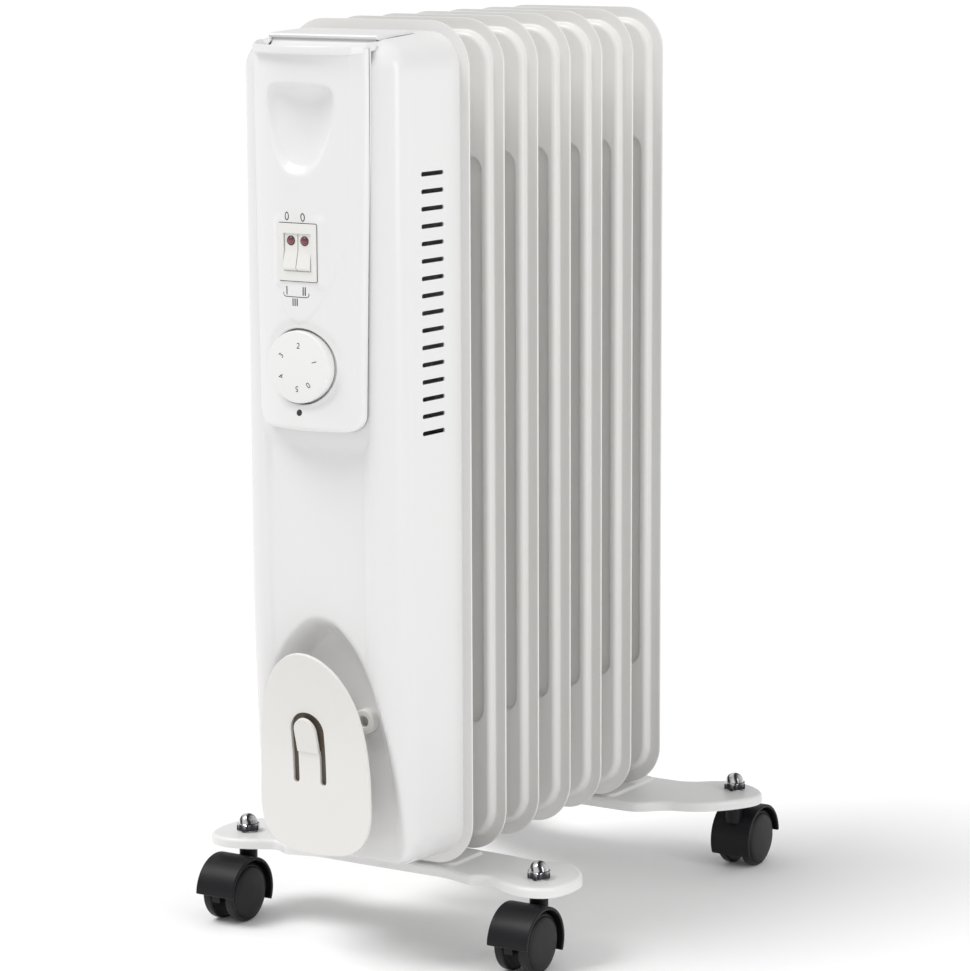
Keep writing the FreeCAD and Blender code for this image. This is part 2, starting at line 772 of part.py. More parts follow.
def panel_form(name, skin):
    """The panel's closed form, `skin` inside its outer face, with its scoop and its knob dish."""
    body = new_body(name)
    wide = panel_wide - skin
    narrow = panel_narrow - skin
    low = panel_low + skin
    high = panel_high - skin
    side = panel_side - skin
    rise = panel_front - panel_side
    sketch = new_sketch(body, "XY_Plane", low)
    outline(sketch, [(-wide, -side, bow_radius(wide, rise)), (wide, -side), (wide, -cover_depth),
                     (-wide, -cover_depth)])
    pad(body, sketch, high - low)
    corner = panel_corner - skin
    sketch = new_sketch(body, "XZ_Plane")
    box_outline(sketch, -wide - clear_cut, wide + clear_cut, low - clear_cut, high + clear_cut * 2)
    outline(sketch, [(-narrow + corner, low), (narrow - corner, low, corner), (narrow, low + corner),
                     (wide, panel_taper_top), (wide, high + clear_cut), (-wide, high + clear_cut),
                     (-wide, panel_taper_top), (-narrow, low + corner, corner)])
    pocket(body, sketch, panel_front * 4, both=True)
    land_half = switch_half + land_margin
    land_high = switch_half_high + land_margin
    sketch = new_sketch(body, "XZ_Plane", cover_depth)
    box_outline(sketch, -land_half + skin, land_half - skin, switch_height - land_high + skin,
                switch_height + land_high - skin)
    pad(body, sketch, switch_land - skin - cover_depth)
    sketch = new_sketch(body, "XZ_Plane", panel_front + clear_cut)
    foot = scoop_foot_half + skin
    half = scoop_half + skin
    scoop_top = scoop_high + skin
    outline(sketch, [(-foot, scoop_low, bow_radius(foot, foot * 0.6)), (foot, scoop_low),
                     (half, scoop_wide_at), (half, scoop_top - scoop_corner, scoop_corner),
                     (half - scoop_corner, scoop_top), (-half + scoop_corner, scoop_top, scoop_corner),
                     (-half, scoop_top - scoop_corner), (-half, scoop_wide_at)])
    pocket(body, sketch, panel_front + clear_cut - scoop_floor + skin)
    sketch = new_sketch(body, "XZ_Plane", panel_front + clear_cut)
    ring(sketch, 0, knob_height, knob_radius + knob_gap + skin)
    pocket(body, sketch, panel_front + clear_cut - dish_floor + skin)
    return body


def control_panel():
    """Moulded panel with a bowed face, open behind."""
    outside = panel_form("panel_outside", as_size(0))
    sketch = new_sketch(outside, "XY_Plane", panel_high - lip_thick)
    outline(sketch, [(-panel_wide, -cover_depth), (-lip_half, -lip_corner,
                     bow_radius(lip_half, lip_front - lip_corner)), (lip_half, -lip_corner),
                     (panel_wide, -cover_depth)])
    pad(outside, sketch, lip_thick)
    sketch = new_sketch(outside, "XZ_Plane", panel_front + clear_cut)
    box_outline(sketch, -switch_half + switch_border, switch_half - switch_border,
                switch_height - switch_half_high + switch_border,
                switch_height + switch_half_high - switch_border)
    ring(sketch, 0, knob_height, neck_radius + seat_gap)
    pocket(outside, sketch, panel_front + clear_cut - cover_depth)
    inside = panel_form("panel_inside", panel_wall)
    keep(cut("control_panel", outside, inside), "control_panel")


def top_cap():
    """Plastic cap over the cover's top, from the panel's lip back towards the front fin."""
    body = new_body("top_cap_body")
    slope = cover_draft / (cover_depth - fin_steel)

    def cover_top(depth):
        return cover_high - (depth - fin_steel) * slope + seat_gap

    front = cover_depth - seat_gap
    bend = cover_round + seat_gap * 2
    bend_start = cover_depth - cover_round
    bend_z = cover_top(bend_start) - bend
    front_z = bend_z + root(bend * bend - (cover_round - seat_gap) * (cover_round - seat_gap))
    sketch = new_sketch(body, "YZ_Plane")
    outline(sketch, [(-front, panel_high), (-front, front_z, -bend), (-bend_start, cover_top(bend_start)),
                     (-cap_rear, cover_top(cap_rear)), (-cap_rear, cap_top),
                     (-cap_ridge, cover_top(cap_ridge) + cap_thick),
                     (-cap_ridge - cap_chamfer, cover_top(cap_ridge + cap_chamfer) + cap_thick - cap_chamfer_drop)])
    pad(body, sketch, cap_half * 2, both=True)
    keep(body, "top_cap")


# ---------------------------------------------------------------- switches and thermostat


def switch_housing():
    """Switch body behind the panel with a thin frame that lies on the panel's flat land."""
    inner = switch_half - switch_border - seat_gap
    inner_high = switch_half_high - switch_border - seat_gap
    bezel = block("bezel", -switch_half, -switch_land - bezel_thick, switch_height - switch_half_high,
                  switch_half * 2, bezel_thick, switch_half_high * 2)
    case = block("switch_case", -inner, -switch_land - bezel_thick, switch_height - inner_high,
                 inner * 2, switch_land + bezel_thick - switch_rear, inner_high * 2)
    room = block("switch_room", -inner + switch_wall, -switch_land - bezel_thick - 1,
                 switch_height - inner_high + switch_wall, (inner - switch_wall) * 2,
                 switch_land + bezel_thick + 1 - switch_rear - housing_floor, (inner_high - switch_wall) * 2)
    housing = cut("switch_frame", fuse("switch_solid", [bezel, case]), room)
    holes = rod("switch_pin_hole", pin_radius, inner * 2 + 2, -inner - 1, -rocker_pivot, switch_height, "x")
    keep(cut("switch_housing", housing, holes), "switch_housing")
    keep(rod("switch_pin", pin_radius - running_gap / 2, inner * 2, -inner, -rocker_pivot, switch_height, "x"),
         "switch_pin")


def rocker(side, name):
    """A rocker with two faces that meet in a shallow V, pressed at its top, and its neon lens."""
    inner = switch_half - switch_border - seat_gap - switch_wall
    wide = inner - rocker_gap * 1.5
    left = rocker_gap / 2 if side > 0 else -rocker_gap / 2 - wide
    body = new_body(name + "_body")
    reach = switch_half_high - switch_border - seat_gap - switch_wall - rocker_gap
    back = rocker_back
    face_end = root(reach * reach - rocker_dip * rocker_dip)
    tilt = math.radians(rocker_swing.value)
    sine = Size(math.sin(tilt), f"sin({rocker_swing.text})")
    cosine = Size(math.cos(tilt), f"cos({rocker_swing.text})")
    stretch = root(reach * reach - rocker_dip * rocker_dip * cosine * cosine) - rocker_dip * sine
    low_y = -rocker_dip - stretch * sine
    low_z = -stretch * cosine
    back_z = root(reach * reach - back * back)
    sketch = new_sketch(body, "YZ_Plane", left, 0)
    pivot_y = -rocker_pivot
    outline(sketch, [(pivot_y - rocker_dip, switch_height),
                     (pivot_y + low_y, switch_height + low_z, reach),
                     (pivot_y + back, switch_height - back_z),
                     (pivot_y + back, switch_height + back_z, reach),
                     (pivot_y - rocker_dip, switch_height + face_end)])
    ring(sketch, pivot_y, switch_height, pin_radius + running_gap / 2)
    pad(body, sketch, wide)
    centre = left + wide / 2
    sketch = new_sketch(body, "XZ_Plane", rocker_pivot + rocker_dip + lens_proud)
    ring(sketch, centre, switch_height + lens_rise, lens_radius + running_gap)
    pocket(body, sketch, lens_seat + lens_proud)
    keep(body, name)
    keep(rod(name + "_neon", lens_radius, lens_length, centre, pivot_y - rocker_dip - lens_proud,
             switch_height + lens_rise, "y"), name + "_neon")


def knob():
    """Turned knob with a slightly domed face."""
    body = new_body("knob_body")
    sketch = new_sketch(body, "YZ_Plane", 0, knob_height)
    rear = -dish_floor - seat_gap * 4
    face = -knob_front
    edge = face + knob_dome
    bore_end = face + knob_skin
    outline(sketch, [(face, 0), (bore_end, 0), (bore_end, shaft_radius + running_gap),
                     (rear, shaft_radius + running_gap), (rear, knob_radius), (edge, knob_radius,
                     bow_radius(knob_radius, knob_dome))])
    revolve(body, sketch)
    keep(body, "knob")


def thermostat():
    """Thermostat case behind the panel's dish, with a threaded neck and the shaft that the knob turns."""
    front = dish_floor - panel_wall - seat_gap
    case = block("thermostat_case", -thermostat_half, -front, knob_height - thermostat_half,
                 thermostat_half * 2, thermostat_depth, thermostat_half * 2)
    neck = rod("thermostat_neck", neck_radius, dish_floor - front, 0, -dish_floor, knob_height, "y")
    bore = rod("thermostat_bore", shaft_radius + running_gap,
               dish_floor - front + thermostat_depth - thermostat_wall, 0, -dish_floor, knob_height, "y")
    keep(cut("thermostat_body", fuse("thermostat_solid", [case, neck]), bore), "thermostat_body")
    start = knob_front - knob_skin - seat_gap
    end = front - thermostat_depth + shaft_end_gap
    keep(rod("thermostat_shaft", shaft_radius, start - end, 0, -start, knob_height, "y"), "thermostat_shaft")


def inner_parts():
    """Terminal block and thermal cut-out on the front fin."""
    base = block("terminal_base", -terminal_half, -fin_bulge - terminal_depth, terminal_height - terminal_tall / 2,
                 terminal_half * 2, terminal_depth, terminal_tall)
    screws = [rod(f"terminal_screw_{number}", terminal_screw, terminal_screw_rise + 1, terminal_pitch * (number - 1),
                  -fin_bulge - terminal_depth - terminal_screw_rise, terminal_height, "y") for number in range(3)]
    keep(fuse("terminal_block", [base] + screws), "terminal_block")
    disc = rod("cutout_disc", cutout_radius, cutout_thick - cutout_tab_thick / 2, 0, -fin_bulge - cutout_thick,
               cutout_height, "y")
    tab = block("cutout_tab", -cutout_tab_half, -fin_bulge - cutout_tab_thick, cutout_height - cutout_tab_tall / 2,
                cutout_tab_half * 2, cutout_tab_thick, cutout_tab_tall)
    keep(fuse("thermal_cutout", [disc, tab]), "thermal_cutout")


def wire_shape(points, radius):
    """A round wire along straight runs joined by tangent arcs."""
    edges = []
    start = points[0]
    for before, corner, after in zip(points, points[1:], points[2:]):
        to_back = before - corner
        to_next = after - corner
        shorter = min(to_back.Length, to_next.Length)
        half_turn = (math.pi - to_back.getAngle(to_next)) / 2
        setback = 0.45 * shorter
        bend = setback / math.tan(half_turn)
        begin = corner + to_back.normalize() * setback
        finish = corner + to_next.normalize() * setback
        inward = (begin + finish) * 0.5 - corner
        middle = corner + inward.normalize() * (bend / math.cos(half_turn) - bend)
        edges.append(Part.LineSegment(start, begin).toShape())
        edges.append(Part.Arc(begin, middle, finish).toShape())
        start = finish
    edges.append(Part.LineSegment(start, points[-1]).toShape())
    path = Part.Wire(edges)
    first = points[1] - points[0]
    section = Part.Wire([Part.Circle(points[0], first, radius).toShape()])
    return path.makePipeShell([section], True, False)


def wires():
    """Internal leads, clipped along their routes between the terminals."""
    y_block = -(fin_bulge + terminal_depth + terminal_screw_rise).value
    z_block = terminal_height.value
    y_panel = -(switch_rear.value - 1)
    z_switch = switch_height.value
    z_pin = header_low.value
    y_pin = -(element_seat + gasket_thick + flange_thick + element_pin_length).value
    y_stat = -(dish_floor - panel_wall - seat_gap - thermostat_depth).value
    z_stat = knob_height.value
    routes = {
        "supply_lead": [Vec(gland_side.value, -(well_floor - gland_neck - seat_gap).value, gland_height.value),
                        Vec(27, -41, 176), Vec(26, -30, 205), Vec(18, -32, 240), Vec(10, -30, 268),
                        Vec(10, y_block, z_block - 6)],
        "switch_lead": [Vec(-10, y_block, z_block + 6), Vec(-16, -32, z_block + 32), Vec(-22, -36, 365),
                        Vec(-22, -38, 415), Vec(-17, -42, 458), Vec(-8, -50, z_switch - 8),
                        Vec(-8, y_panel, z_switch)],
        "thermostat_lead": [Vec(8, y_panel, z_switch - 6), Vec(9, -47, z_switch - 14), Vec(12, -40, 458),
                            Vec(9, y_stat + 16, z_stat + 20), Vec(7, y_stat + 10, z_stat + 7),
                            Vec(7, y_stat + 0.4, z_stat + 5)],
        "element_lead": [Vec(-4, y_block, z_block - 7), Vec(-8, -34, z_block - 30), Vec(-20, -38, 215),
                         Vec(-22, -42, 175), Vec(-16, -46, 140), Vec(-11, y_pin - 13, z_pin + 6),
                         Vec(-element_bend.value, y_pin - 10, z_pin - 5),
                         Vec(-element_bend.value, y_pin - 0.4, z_pin - element_rise.value)],
    }
    for name, points in routes.items():
        item = doc.addObject("Part::Feature", name)
        item.Label = name
        item.Shape = wire_shape(points, lead_radius.value)
        keep(item, name)


# ---------------------------------------------------------------- cord wrap plate


def cord_wrap_plate():
    """Egg shaped plate that leans forward at its top, with an arched slot that frees a tongue."""
    body = new_body("wrap_plate_body")
    rise = plate_high - plate_bend
    bend = bow_radius(rise, plate_lean)
    rear = -plate_front + plate_thick
    outer = bend + plate_thick
    rear_top = rear - outer + root(outer * outer - rise * rise)
    sketch = new_sketch(body, "YZ_Plane")
    outline(sketch, [(-plate_front, plate_low), (rear, plate_low), (rear, plate_bend, outer),
                     (rear_top, plate_high), (-plate_front - plate_lean, plate_high, -bend),
                     (-plate_front, plate_bend)])
    pad(body, sketch, plate_half * 2, both=True)
    foot = plate_foot_corner
    side_rise = plate_shoulder - plate_low - foot
    side = bow_radius(side_rise / 2, plate_side_bow)
    top = plate_shoulder_half * 1.003
    spread = plate_half + clear_cut
    sketch = new_sketch(body, "XZ_Plane", plate_front + plate_lean + clear_cut)
    box_outline(sketch, -spread, spread, plate_low - clear_cut, plate_high + clear_cut)
    outline(sketch, [(-plate_half + foot, plate_low + 0.5), (plate_half - foot, plate_low + 0.5, foot),
                     (plate_half, plate_low + 0.5 + foot, side),
                     (plate_shoulder_half, plate_shoulder, top), (-plate_shoulder_half, plate_shoulder, side),
                     (-plate_half, plate_low + 0.5 + foot, foot)])
    pocket(body, sketch, plate_lean + plate_thick + clear_cut * 2)
    left = tongue_centre - tongue_half
    right = tongue_centre + tongue_half
    spring = tongue_high - tongue_half
    sketch = new_sketch(body, "XZ_Plane", plate_front + plate_lean + clear_cut)
    inner = tongue_half - tongue_slot / 2
    wide = tongue_half + tongue_slot / 2
    outline(sketch, [(left - tongue_slot / 2, tongue_low), (left + tongue_slot / 2, tongue_low),
                     (left + tongue_slot / 2, spring, -inner * 1.001),
                     (right - tongue_slot / 2, spring), (right - tongue_slot / 2, tongue_low),
                     (right + tongue_slot / 2, tongue_low), (right + tongue_slot / 2, spring, wide * 1.001),
                     (left - tongue_slot / 2, spring)])
    pocket(body, sketch, plate_lean + plate_thick + clear_cut * 2)
    keep(body, "cord_wrap_plate")


def wrap_fittings():
    """Two posts that carry the wrap plate, their screws, and the cord gland beside them."""
    back = plate_front - plate_thick
    posts = []
    screws = []
    for number, side in enumerate((-1, 1)):
        x = post_half_span * side
        solid = rod(f"post_solid_{number}", post_radius, back - well_floor, x, -back, post_height, "y")
        hole = rod(f"post_hole_{number}", screw_radius + running_gap, back - well_floor - post_face, x,
                   -back + post_face, post_height, "y")
        posts.append(cut(f"post_{number}", solid, hole))
        shank = rod(f"wrap_shank_{number}", screw_radius, screw_length, x, -well_floor - screw_cover,
                    post_height, "y")
        head = rod(f"wrap_head_{number}", screw_radius * 2, screw_head_thick, x, -well_floor + cover_steel,
                   post_height, "y")
        screws.append(fuse(f"wrap_screw_{number}", [shank, head]))
    keep(group("wrap_posts", posts), "wrap_posts")
    keep(group("wrap_screws", screws), "wrap_screws")
    flange = rod("gland_flange", gland_radius + gland_flange, gland_flange_long, gland_side,
                 -well_floor - gland_flange_long, gland_height, "y")
    neck = rod("gland_neck", gland_radius - running_gap, gland_neck, gland_side, -well_floor, gland_height, "y")
    bore = rod("gland_hole", gland_bore, gland_neck + gland_flange_long, gland_side,
               -well_floor - gland_flange_long, gland_height, "y")
    keep(cut("cord_gland", fuse("gland_solid", [flange, neck]), bore), "cord_gland")


# ---------------------------------------------------------------- foot brackets

def bracket_outline(sketch, stem_y, low_centre, high_centre, low_lobe, high_lobe, skin):
    """A bar with a broad rounded lobe at each end, `skin` inside its edge."""
    low_c = stem_y - low_centre + skin
    high_c = stem_y + high_centre - skin
    low_l = stem_y - low_lobe + skin
    high_l = stem_y + high_lobe - skin
    reach = bracket_reach - skin
    corner = lobe_corner - skin
    lobe = lobe_start + skin
    neck = neck_half + skin
    right = [(neck, low_c), (lobe, low_l), (reach - corner, low_l, corner), (reach, low_l + corner),
             (reach, high_l - corner, corner), (reach - corner, high_l), (lobe, high_l), (neck, high_c)]
    left = [(-neck, high_c), (-lobe, high_l), (-reach + corner, high_l, corner), (-reach, high_l - corner),
            (-reach, low_l + corner, corner), (-reach + corner, low_l), (-lobe, low_l), (-neck, low_c)]
    outline(sketch, right + left)


def bracket(name, stem_y, bolt_y, low_centre, high_centre, low_lobe, high_lobe):
    """Pressed steel foot with a turned down rim, holes for the caster stems and the U-bolt."""
    body = new_body(name + "_body")
    edges = (low_centre, high_centre, low_lobe, high_lobe)
    sketch = new_sketch(body, "XY_Plane", bracket_top - bracket_rim)
    bracket_outline(sketch, stem_y, *edges, as_size(0))
    pad(body, sketch, bracket_rim)
    sketch = new_sketch(body, "XY_Plane", bracket_top)
    pad_low = stem_y - low_centre + pad_margin
    pad_high = stem_y + high_centre - pad_margin
    rounded_box(sketch, -pad_half, pad_half, pad_low, pad_high, pad_corner)
    pad(body, sketch, fin_lift - bracket_top)
    sketch = new_sketch(body, "XY_Plane", bracket_top - bracket_rim)
    bracket_outline(sketch, stem_y, *edges, bracket_steel)
    pocket(body, sketch, bracket_rim - bracket_steel, backwards=True)
    sketch = new_sketch(body, "XY_Plane", bracket_top - bracket_rim)
    inner_half = pad_half - bracket_steel
    rounded_box(sketch, -inner_half, inner_half, pad_low + bracket_steel, pad_high - bracket_steel,
                pad_corner - bracket_steel)
    pocket(body, sketch, bracket_rim + fin_lift - bracket_top - bracket_steel, backwards=True)
    sketch = new_sketch(body, "XY_Plane", fin_lift + 1)
    for side in (-1, 1):
        ring(sketch, stem_half_span * side, stem_y, stem_radius + running_gap)
        ring(sketch, (collar_radius + ubolt_rod) * side, bolt_y, ubolt_rod + seat_gap)
    pocket(body, sketch, bracket_rim * 2)
    keep(body, name)


def u_bolts(bolt_places):
    """Rods bent over the lower collars, clamped under the brackets by wing nuts."""
    bolts = []
    nuts = []
    upright = FreeCAD.Rotation(Vec(1, 0, 0), 90)
    span = collar_radius + ubolt_rod
    underside = fin_lift - bracket_steel
    foot = underside - wing_nut_tall - bolt_end
    for number, bolt_y in enumerate(bolt_places):
        arch = half_ring(f"bolt_arch_{number}", span + seat_gap / 4, ubolt_rod, 0, bolt_y, header_low, upright)
        legs = [rod(f"bolt_leg_{number}_{side + 1}", ubolt_rod, header_low - foot, (span + seat_gap / 4) * side,
                    bolt_y, foot) for side in (-1, 1)]
        bolts.append(fuse(f"u_bolt_{number}", [arch] + legs))
        for side in (-1, 1):
            tag = f"{number}_{side + 1}"
            x = (span + seat_gap / 4) * side
            low = underside - wing_nut_tall
            barrel = rod("wing_barrel_" + tag, wing_nut_radius, wing_nut_tall, x, bolt_y, low)
            wing = block("wing_" + tag, x - wing_half, bolt_y - wing_thick / 2, low, wing_half * 2, wing_thick,
                         wing_nut_tall)
            bore = rod("wing_bore_" + tag, ubolt_rod + running_gap, wing_nut_tall, x, bolt_y, low)
            nuts.append(cut("wing_nut_" + tag, fuse("wing_solid_" + tag, [barrel, wing]), bore))
    keep(group("u_bolts", bolts), "u_bolts")
    keep(group("wing_nuts", nuts), "wing_nuts")


# ---------------------------------------------------------------- casters


def caster(name, x, stem_y, side):
    """Twin wheel caster that trails by `side` along Y: hood, stem, axle and two wheels."""
    axle_y = stem_y + caster_trail * side
    shell = rod(name + "_drum", hood_radius, hood_half * 2, x - hood_half, axle_y, wheel_radius, "x")
    hollow = hood_radius - hood_wall
    room = rod(name + "_room", hollow, hood_half * 2, x - hood_half, axle_y, wheel_radius, "x")
    web = rod(name + "_web", hollow, web_half * 2, x - web_half, axle_y, wheel_radius, "x")
    boss = rod(name + "_boss", boss_radius, boss_top - boss_bottom, x, stem_y, boss_bottom)
    reach = hood_radius + 1
    lead_y, tail_y = (axle_y - reach, axle_y) if side < 0 else (axle_y, axle_y - reach)
    lead = block(name + "_lead", x - hood_half - 1, lead_y, wheel_radius - reach, hood_half * 2 + 2, reach,
                 reach + hood_rise)
    tail = block(name + "_tail", x - hood_half - 1, tail_y, wheel_radius - reach, hood_half * 2 + 2, reach,
                 reach - hood_tail)
    low = block(name + "_low", x - hood_half - 1, axle_y - reach, wheel_radius - reach, hood_half * 2 + 2,
                reach * 2, reach - web_drop)
    upper = fuse(name + "_upper", [cut(name + "_shell", shell, fuse(name + "_open", [room, lead, tail])),
                                   cut(name + "_web_top", web, low), boss])
    socket = rod(name + "_socket", stem_radius + running_gap, boss_top - boss_bottom - socket_floor, x, stem_y,
                 boss_bottom + socket_floor)
    eye = rod(name + "_eye", axle_radius + running_gap / 5, web_half * 2, x - web_half, axle_y, wheel_radius, "x")
    keep(cut(name + "_hood", upper, fuse(name + "_holes", [socket, eye])), name + "_hood")

    plate_under = bracket_top - bracket_steel
    stem_top = bracket_top + nut_tall + nut_dome - stem_top_gap
    rod_part = rod(name + "_rod", stem_radius, stem_top - stem_foot, x, stem_y, stem_foot)
    shoulder = rod(name + "_shoulder", stem_shoulder, shoulder_thick, x, stem_y, plate_under - shoulder_thick)
    keep(fuse(name + "_stem", [rod_part, shoulder]), name + "_stem")

    length = wheel_outer - axle_recess
    keep(rod(name + "_axle", axle_radius, length * 2, x - length, axle_y, wheel_radius, "x"), name + "_axle")

    for hand, label in ((-1, "left"), (1, "right")):
        body = new_body(f"{name}_{label}_turned")
        sketch = new_sketch(body, "XY_Plane")
        inner = wheel_inner
        outer = wheel_outer
        bore = axle_radius + running_gap
        corner = wheel_corner
        tread = wheel_radius
        side_face = outer - wheel_shoulder
        profile = [(inner, bore), (outer - hub_skin, bore), (outer - hub_skin, 0), (outer, 0, wheel_crown),
                   (side_face, tread - wheel_step), (side_face, tread - corner, corner), (side_face - corner, tread),
                   (inner + corner, tread, corner), (inner, tread - corner)]
        outline(sketch, profile)
        revolve(body, sketch)
        body.Placement = FreeCAD.Placement(Vec(), FreeCAD.Rotation(Vec(0, 0, 1), 0 if hand > 0 else 180))
        place(body, x, axle_y, wheel_radius)
        keep(body, f"{name}_wheel_{label}")


def cap_nuts(places):
    """Domed nuts on the caster stems, on top of the brackets."""
    nuts = []
    for number, (x, y) in enumerate(places):
        base = hexagon(f"nut_hex_{number}", nut_across, nut_tall, x, y, bracket_top)
        dome = doc.addObject("Part::Sphere", f"nut_dome_{number}")
        dome.setExpression("Radius", nut_dome.text)
        dome.Angle1 = 0
        place(dome, x, y, bracket_top + nut_tall)
        room = rod(f"nut_room_{number}", stem_radius + running_gap, nut_tall + nut_dome - nut_roof, x, y, bracket_top)
        nuts.append(cut(f"cap_nut_{number}", fuse(f"nut_solid_{number}", [base, dome]), room))
    keep(group("cap_nuts", nuts), "cap_nuts")


# ---------------------------------------------------------------- the whole heater

fin_row()
oil_plug()
heating_element()
control_cover()
control_panel()
top_cap()
switch_housing()
rocker(-1, "rocker_left")
rocker(1, "rocker_right")
knob()
thermostat()
inner_parts()
wires()
cord_wrap_plate()
wrap_fittings()

front_bolt_y = fin_pitch / 2
rear_bolt_y = row_depth - fin_pitch / 2
bracket("front_bracket", front_stem_y, front_bolt_y, front_centre_out, front_centre_in,
        front_lobe_out, front_lobe_in)
bracket("rear_bracket", rear_stem_y, rear_bolt_y, rear_centre_in, rear_centre_out,
        rear_lobe_in, rear_lobe_out)
u_bolts([front_bolt_y, rear_bolt_y])

stems = []
for end, stem_y, side in (("front", front_stem_y, -1), ("rear", rear_stem_y, 1)):
    for hand, sign in (("left", -1), ("right", 1)):
        caster(f"{end}_{hand}", stem_half_span * sign, stem_y, side)
        stems.append((stem_half_span * sign, stem_y))
cap_nuts(stems)

# ---------------------------------------------------------------- check and write

doc.recompute()
for item in doc.Objects:
    if "Invalid" in item.State or "Error" in item.State:
        raise RuntimeError(f"{item.Label} did not recompute")
for name, item in nodes:
    if item.Shape.isNull() or not item.Shape.isValid() or not item.Shape.Solids:
        raise RuntimeError(f"{name} has no valid solid")
os.makedirs("parts", exist_ok=True)
for name, item in nodes:
    item.Shape.exportStep(f"parts/{name}.step")
print(f"{len(nodes)} nodes written")
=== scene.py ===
import math

import bmesh
import bpy
import numpy as np
from mathutils import Matrix, Vector
from mathutils.geometry import tessellate_polygon


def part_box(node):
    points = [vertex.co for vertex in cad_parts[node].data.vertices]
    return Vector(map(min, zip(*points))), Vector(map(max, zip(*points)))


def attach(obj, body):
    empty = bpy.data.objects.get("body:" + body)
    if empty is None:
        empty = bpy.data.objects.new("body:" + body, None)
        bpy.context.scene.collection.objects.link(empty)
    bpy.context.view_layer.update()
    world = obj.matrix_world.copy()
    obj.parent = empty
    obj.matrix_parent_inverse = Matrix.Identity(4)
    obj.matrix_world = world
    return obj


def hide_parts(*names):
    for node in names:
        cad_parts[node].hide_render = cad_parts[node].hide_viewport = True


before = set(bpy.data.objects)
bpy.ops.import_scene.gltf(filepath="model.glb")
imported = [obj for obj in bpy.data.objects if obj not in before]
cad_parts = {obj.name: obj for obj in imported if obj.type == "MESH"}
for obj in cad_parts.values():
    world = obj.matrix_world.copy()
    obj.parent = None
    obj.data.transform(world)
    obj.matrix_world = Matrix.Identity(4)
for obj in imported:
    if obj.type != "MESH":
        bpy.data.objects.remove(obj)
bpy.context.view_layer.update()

# Shapes are written in millimetres from the middle plane of the front fin, and make() moves them
# into the row frame in metres.
MM = 0.001


def measures(node):
    """Middle and half size of a CAD node's box, in millimetres."""
    low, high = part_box(node)
    return [(a + b) * 500 for a, b in zip(low, high)], [(b - a) * 500 for a, b in zip(low, high)]


FIN_PITCH = measures("fin_3")[0][1] - measures("fin_2")[0][1]
FRONT_FIN = measures("fin_2")[0][1] - FIN_PITCH
FIN_COUNT = 7


# ---------------------------------------------------------------- small maths


def smooth(t):
    t = np.clip(t, 0.0, 1.0)
    return t * t * (3 - 2 * t)


def spaced(start, end, step):
    """Evenly spaced values from start to end, about `step` apart, both ends included."""
    count = max(1, int(round(abs(end - start) / step)))
    return [start + (end - start) * i / count for i in range(count + 1)]


def radians(*degrees):
    return [math.radians(d) for d in degrees]


def arc(across, up, radius, start, end, steps):
    """Points of an arc in a plane, from one angle in degrees to another."""
    turns = radians(*[start + (end - start) * i / steps for i in range(steps + 1)])
    return [(across + radius * math.cos(a), up + radius * math.sin(a)) for a in turns]


def ellipse(across, up, half_wide, half_high, count=28):
    turns = [2 * math.pi * i / count for i in range(count)]
    return [(across + half_wide * math.cos(a), up + half_high * math.sin(a)) for a in turns]


def rounded_loop(left, right, low, high, radius, steps=8, xs=(), zs=()):
    """A rounded rectangle about four corner centres, with extra stations xs and zs on its straight
    sides.  Loops with the same stations have the same number of points, so they can be bridged."""
    out = [(x, low - radius) for x in (left, *xs, right)]
    out += arc(right, low, radius, -90, 0, steps)[1:-1]
    out += [(right + radius, z) for z in (low, *zs, high)]
    out += arc(right, high, radius, 0, 90, steps)[1:-1]
    out += [(x, high + radius) for x in (right, *reversed(xs), left)]
    out += arc(left, high, radius, 90, 180, steps)[1:-1]
    out += [(left - radius, z) for z in (high, *reversed(zs), low)]
    out += arc(left, low, radius, 180, 270, steps)[1:-1]
    return out


def flowing(points, per):
    """A smooth line through the points (Catmull-Rom)."""
    p = [np.array(q, float) for q in points]
    p = [p[0] * 2 - p[1], *p, p[-1] * 2 - p[-2]]
    out = []
    for a, b, c, d in zip(p, p[1:], p[2:], p[3:]):
        for t in [k / per for k in range(per)]:
            out.append(tuple(0.5 * (2 * b + (c - a) * t + (2 * a - 5 * b + 4 * c - d) * t * t
                                    + (3 * b - a - 3 * c + d) * t ** 3)))
    return [*out, tuple(p[-2])]


def closed_from(half, per):
    """A smooth closed loop from the points of its right half."""
    right = flowing(half, per)
    return right[:-1] + [(-x, z) for x, z in reversed(right)][:-1]


def open_from(right):
    """An open line from its right half, which starts on the middle line."""
    return [(-x, z) for x, z in reversed(right)][:-1] + right


def inset_loop(points, amount):
    """A counterclockwise closed loop moved inwards by `amount`."""
    p = np.array(points, float)
    before = p - np.roll(p, 1, axis=0)
    after = np.roll(p, -1, axis=0) - p
    before /= np.linalg.norm(before, axis=1)[:, None]
    after /= np.linalg.norm(after, axis=1)[:, None]
    n1 = np.stack([-before[:, 1], before[:, 0]], axis=1)
    n2 = np.stack([-after[:, 1], after[:, 0]], axis=1)
    mid = n1 + n2
    length = np.maximum(np.sum(mid * n1, axis=1), 0.5)
    return [tuple(q) for q in p + mid / length[:, None] * amount]


def line_distance(x, z, line):
    """Distance from each (x, z) to a polyline."""
    best = np.full(np.shape(x), 1e9)
    for (ax, az), (bx, bz) in zip(line, line[1:]):
        dx, dz = bx - ax, bz - az
        t = np.clip(((x - ax) * dx + (z - az) * dz) / max(dx * dx + dz * dz, 1e-9), 0, 1)
        best = np.minimum(best, np.hypot(x - ax - t * dx, z - az - t * dz))
    return best


def about_y(cx, cz):
    return lambda r, y, a: (cx + r * math.cos(a), y, cz + r * math.sin(a))


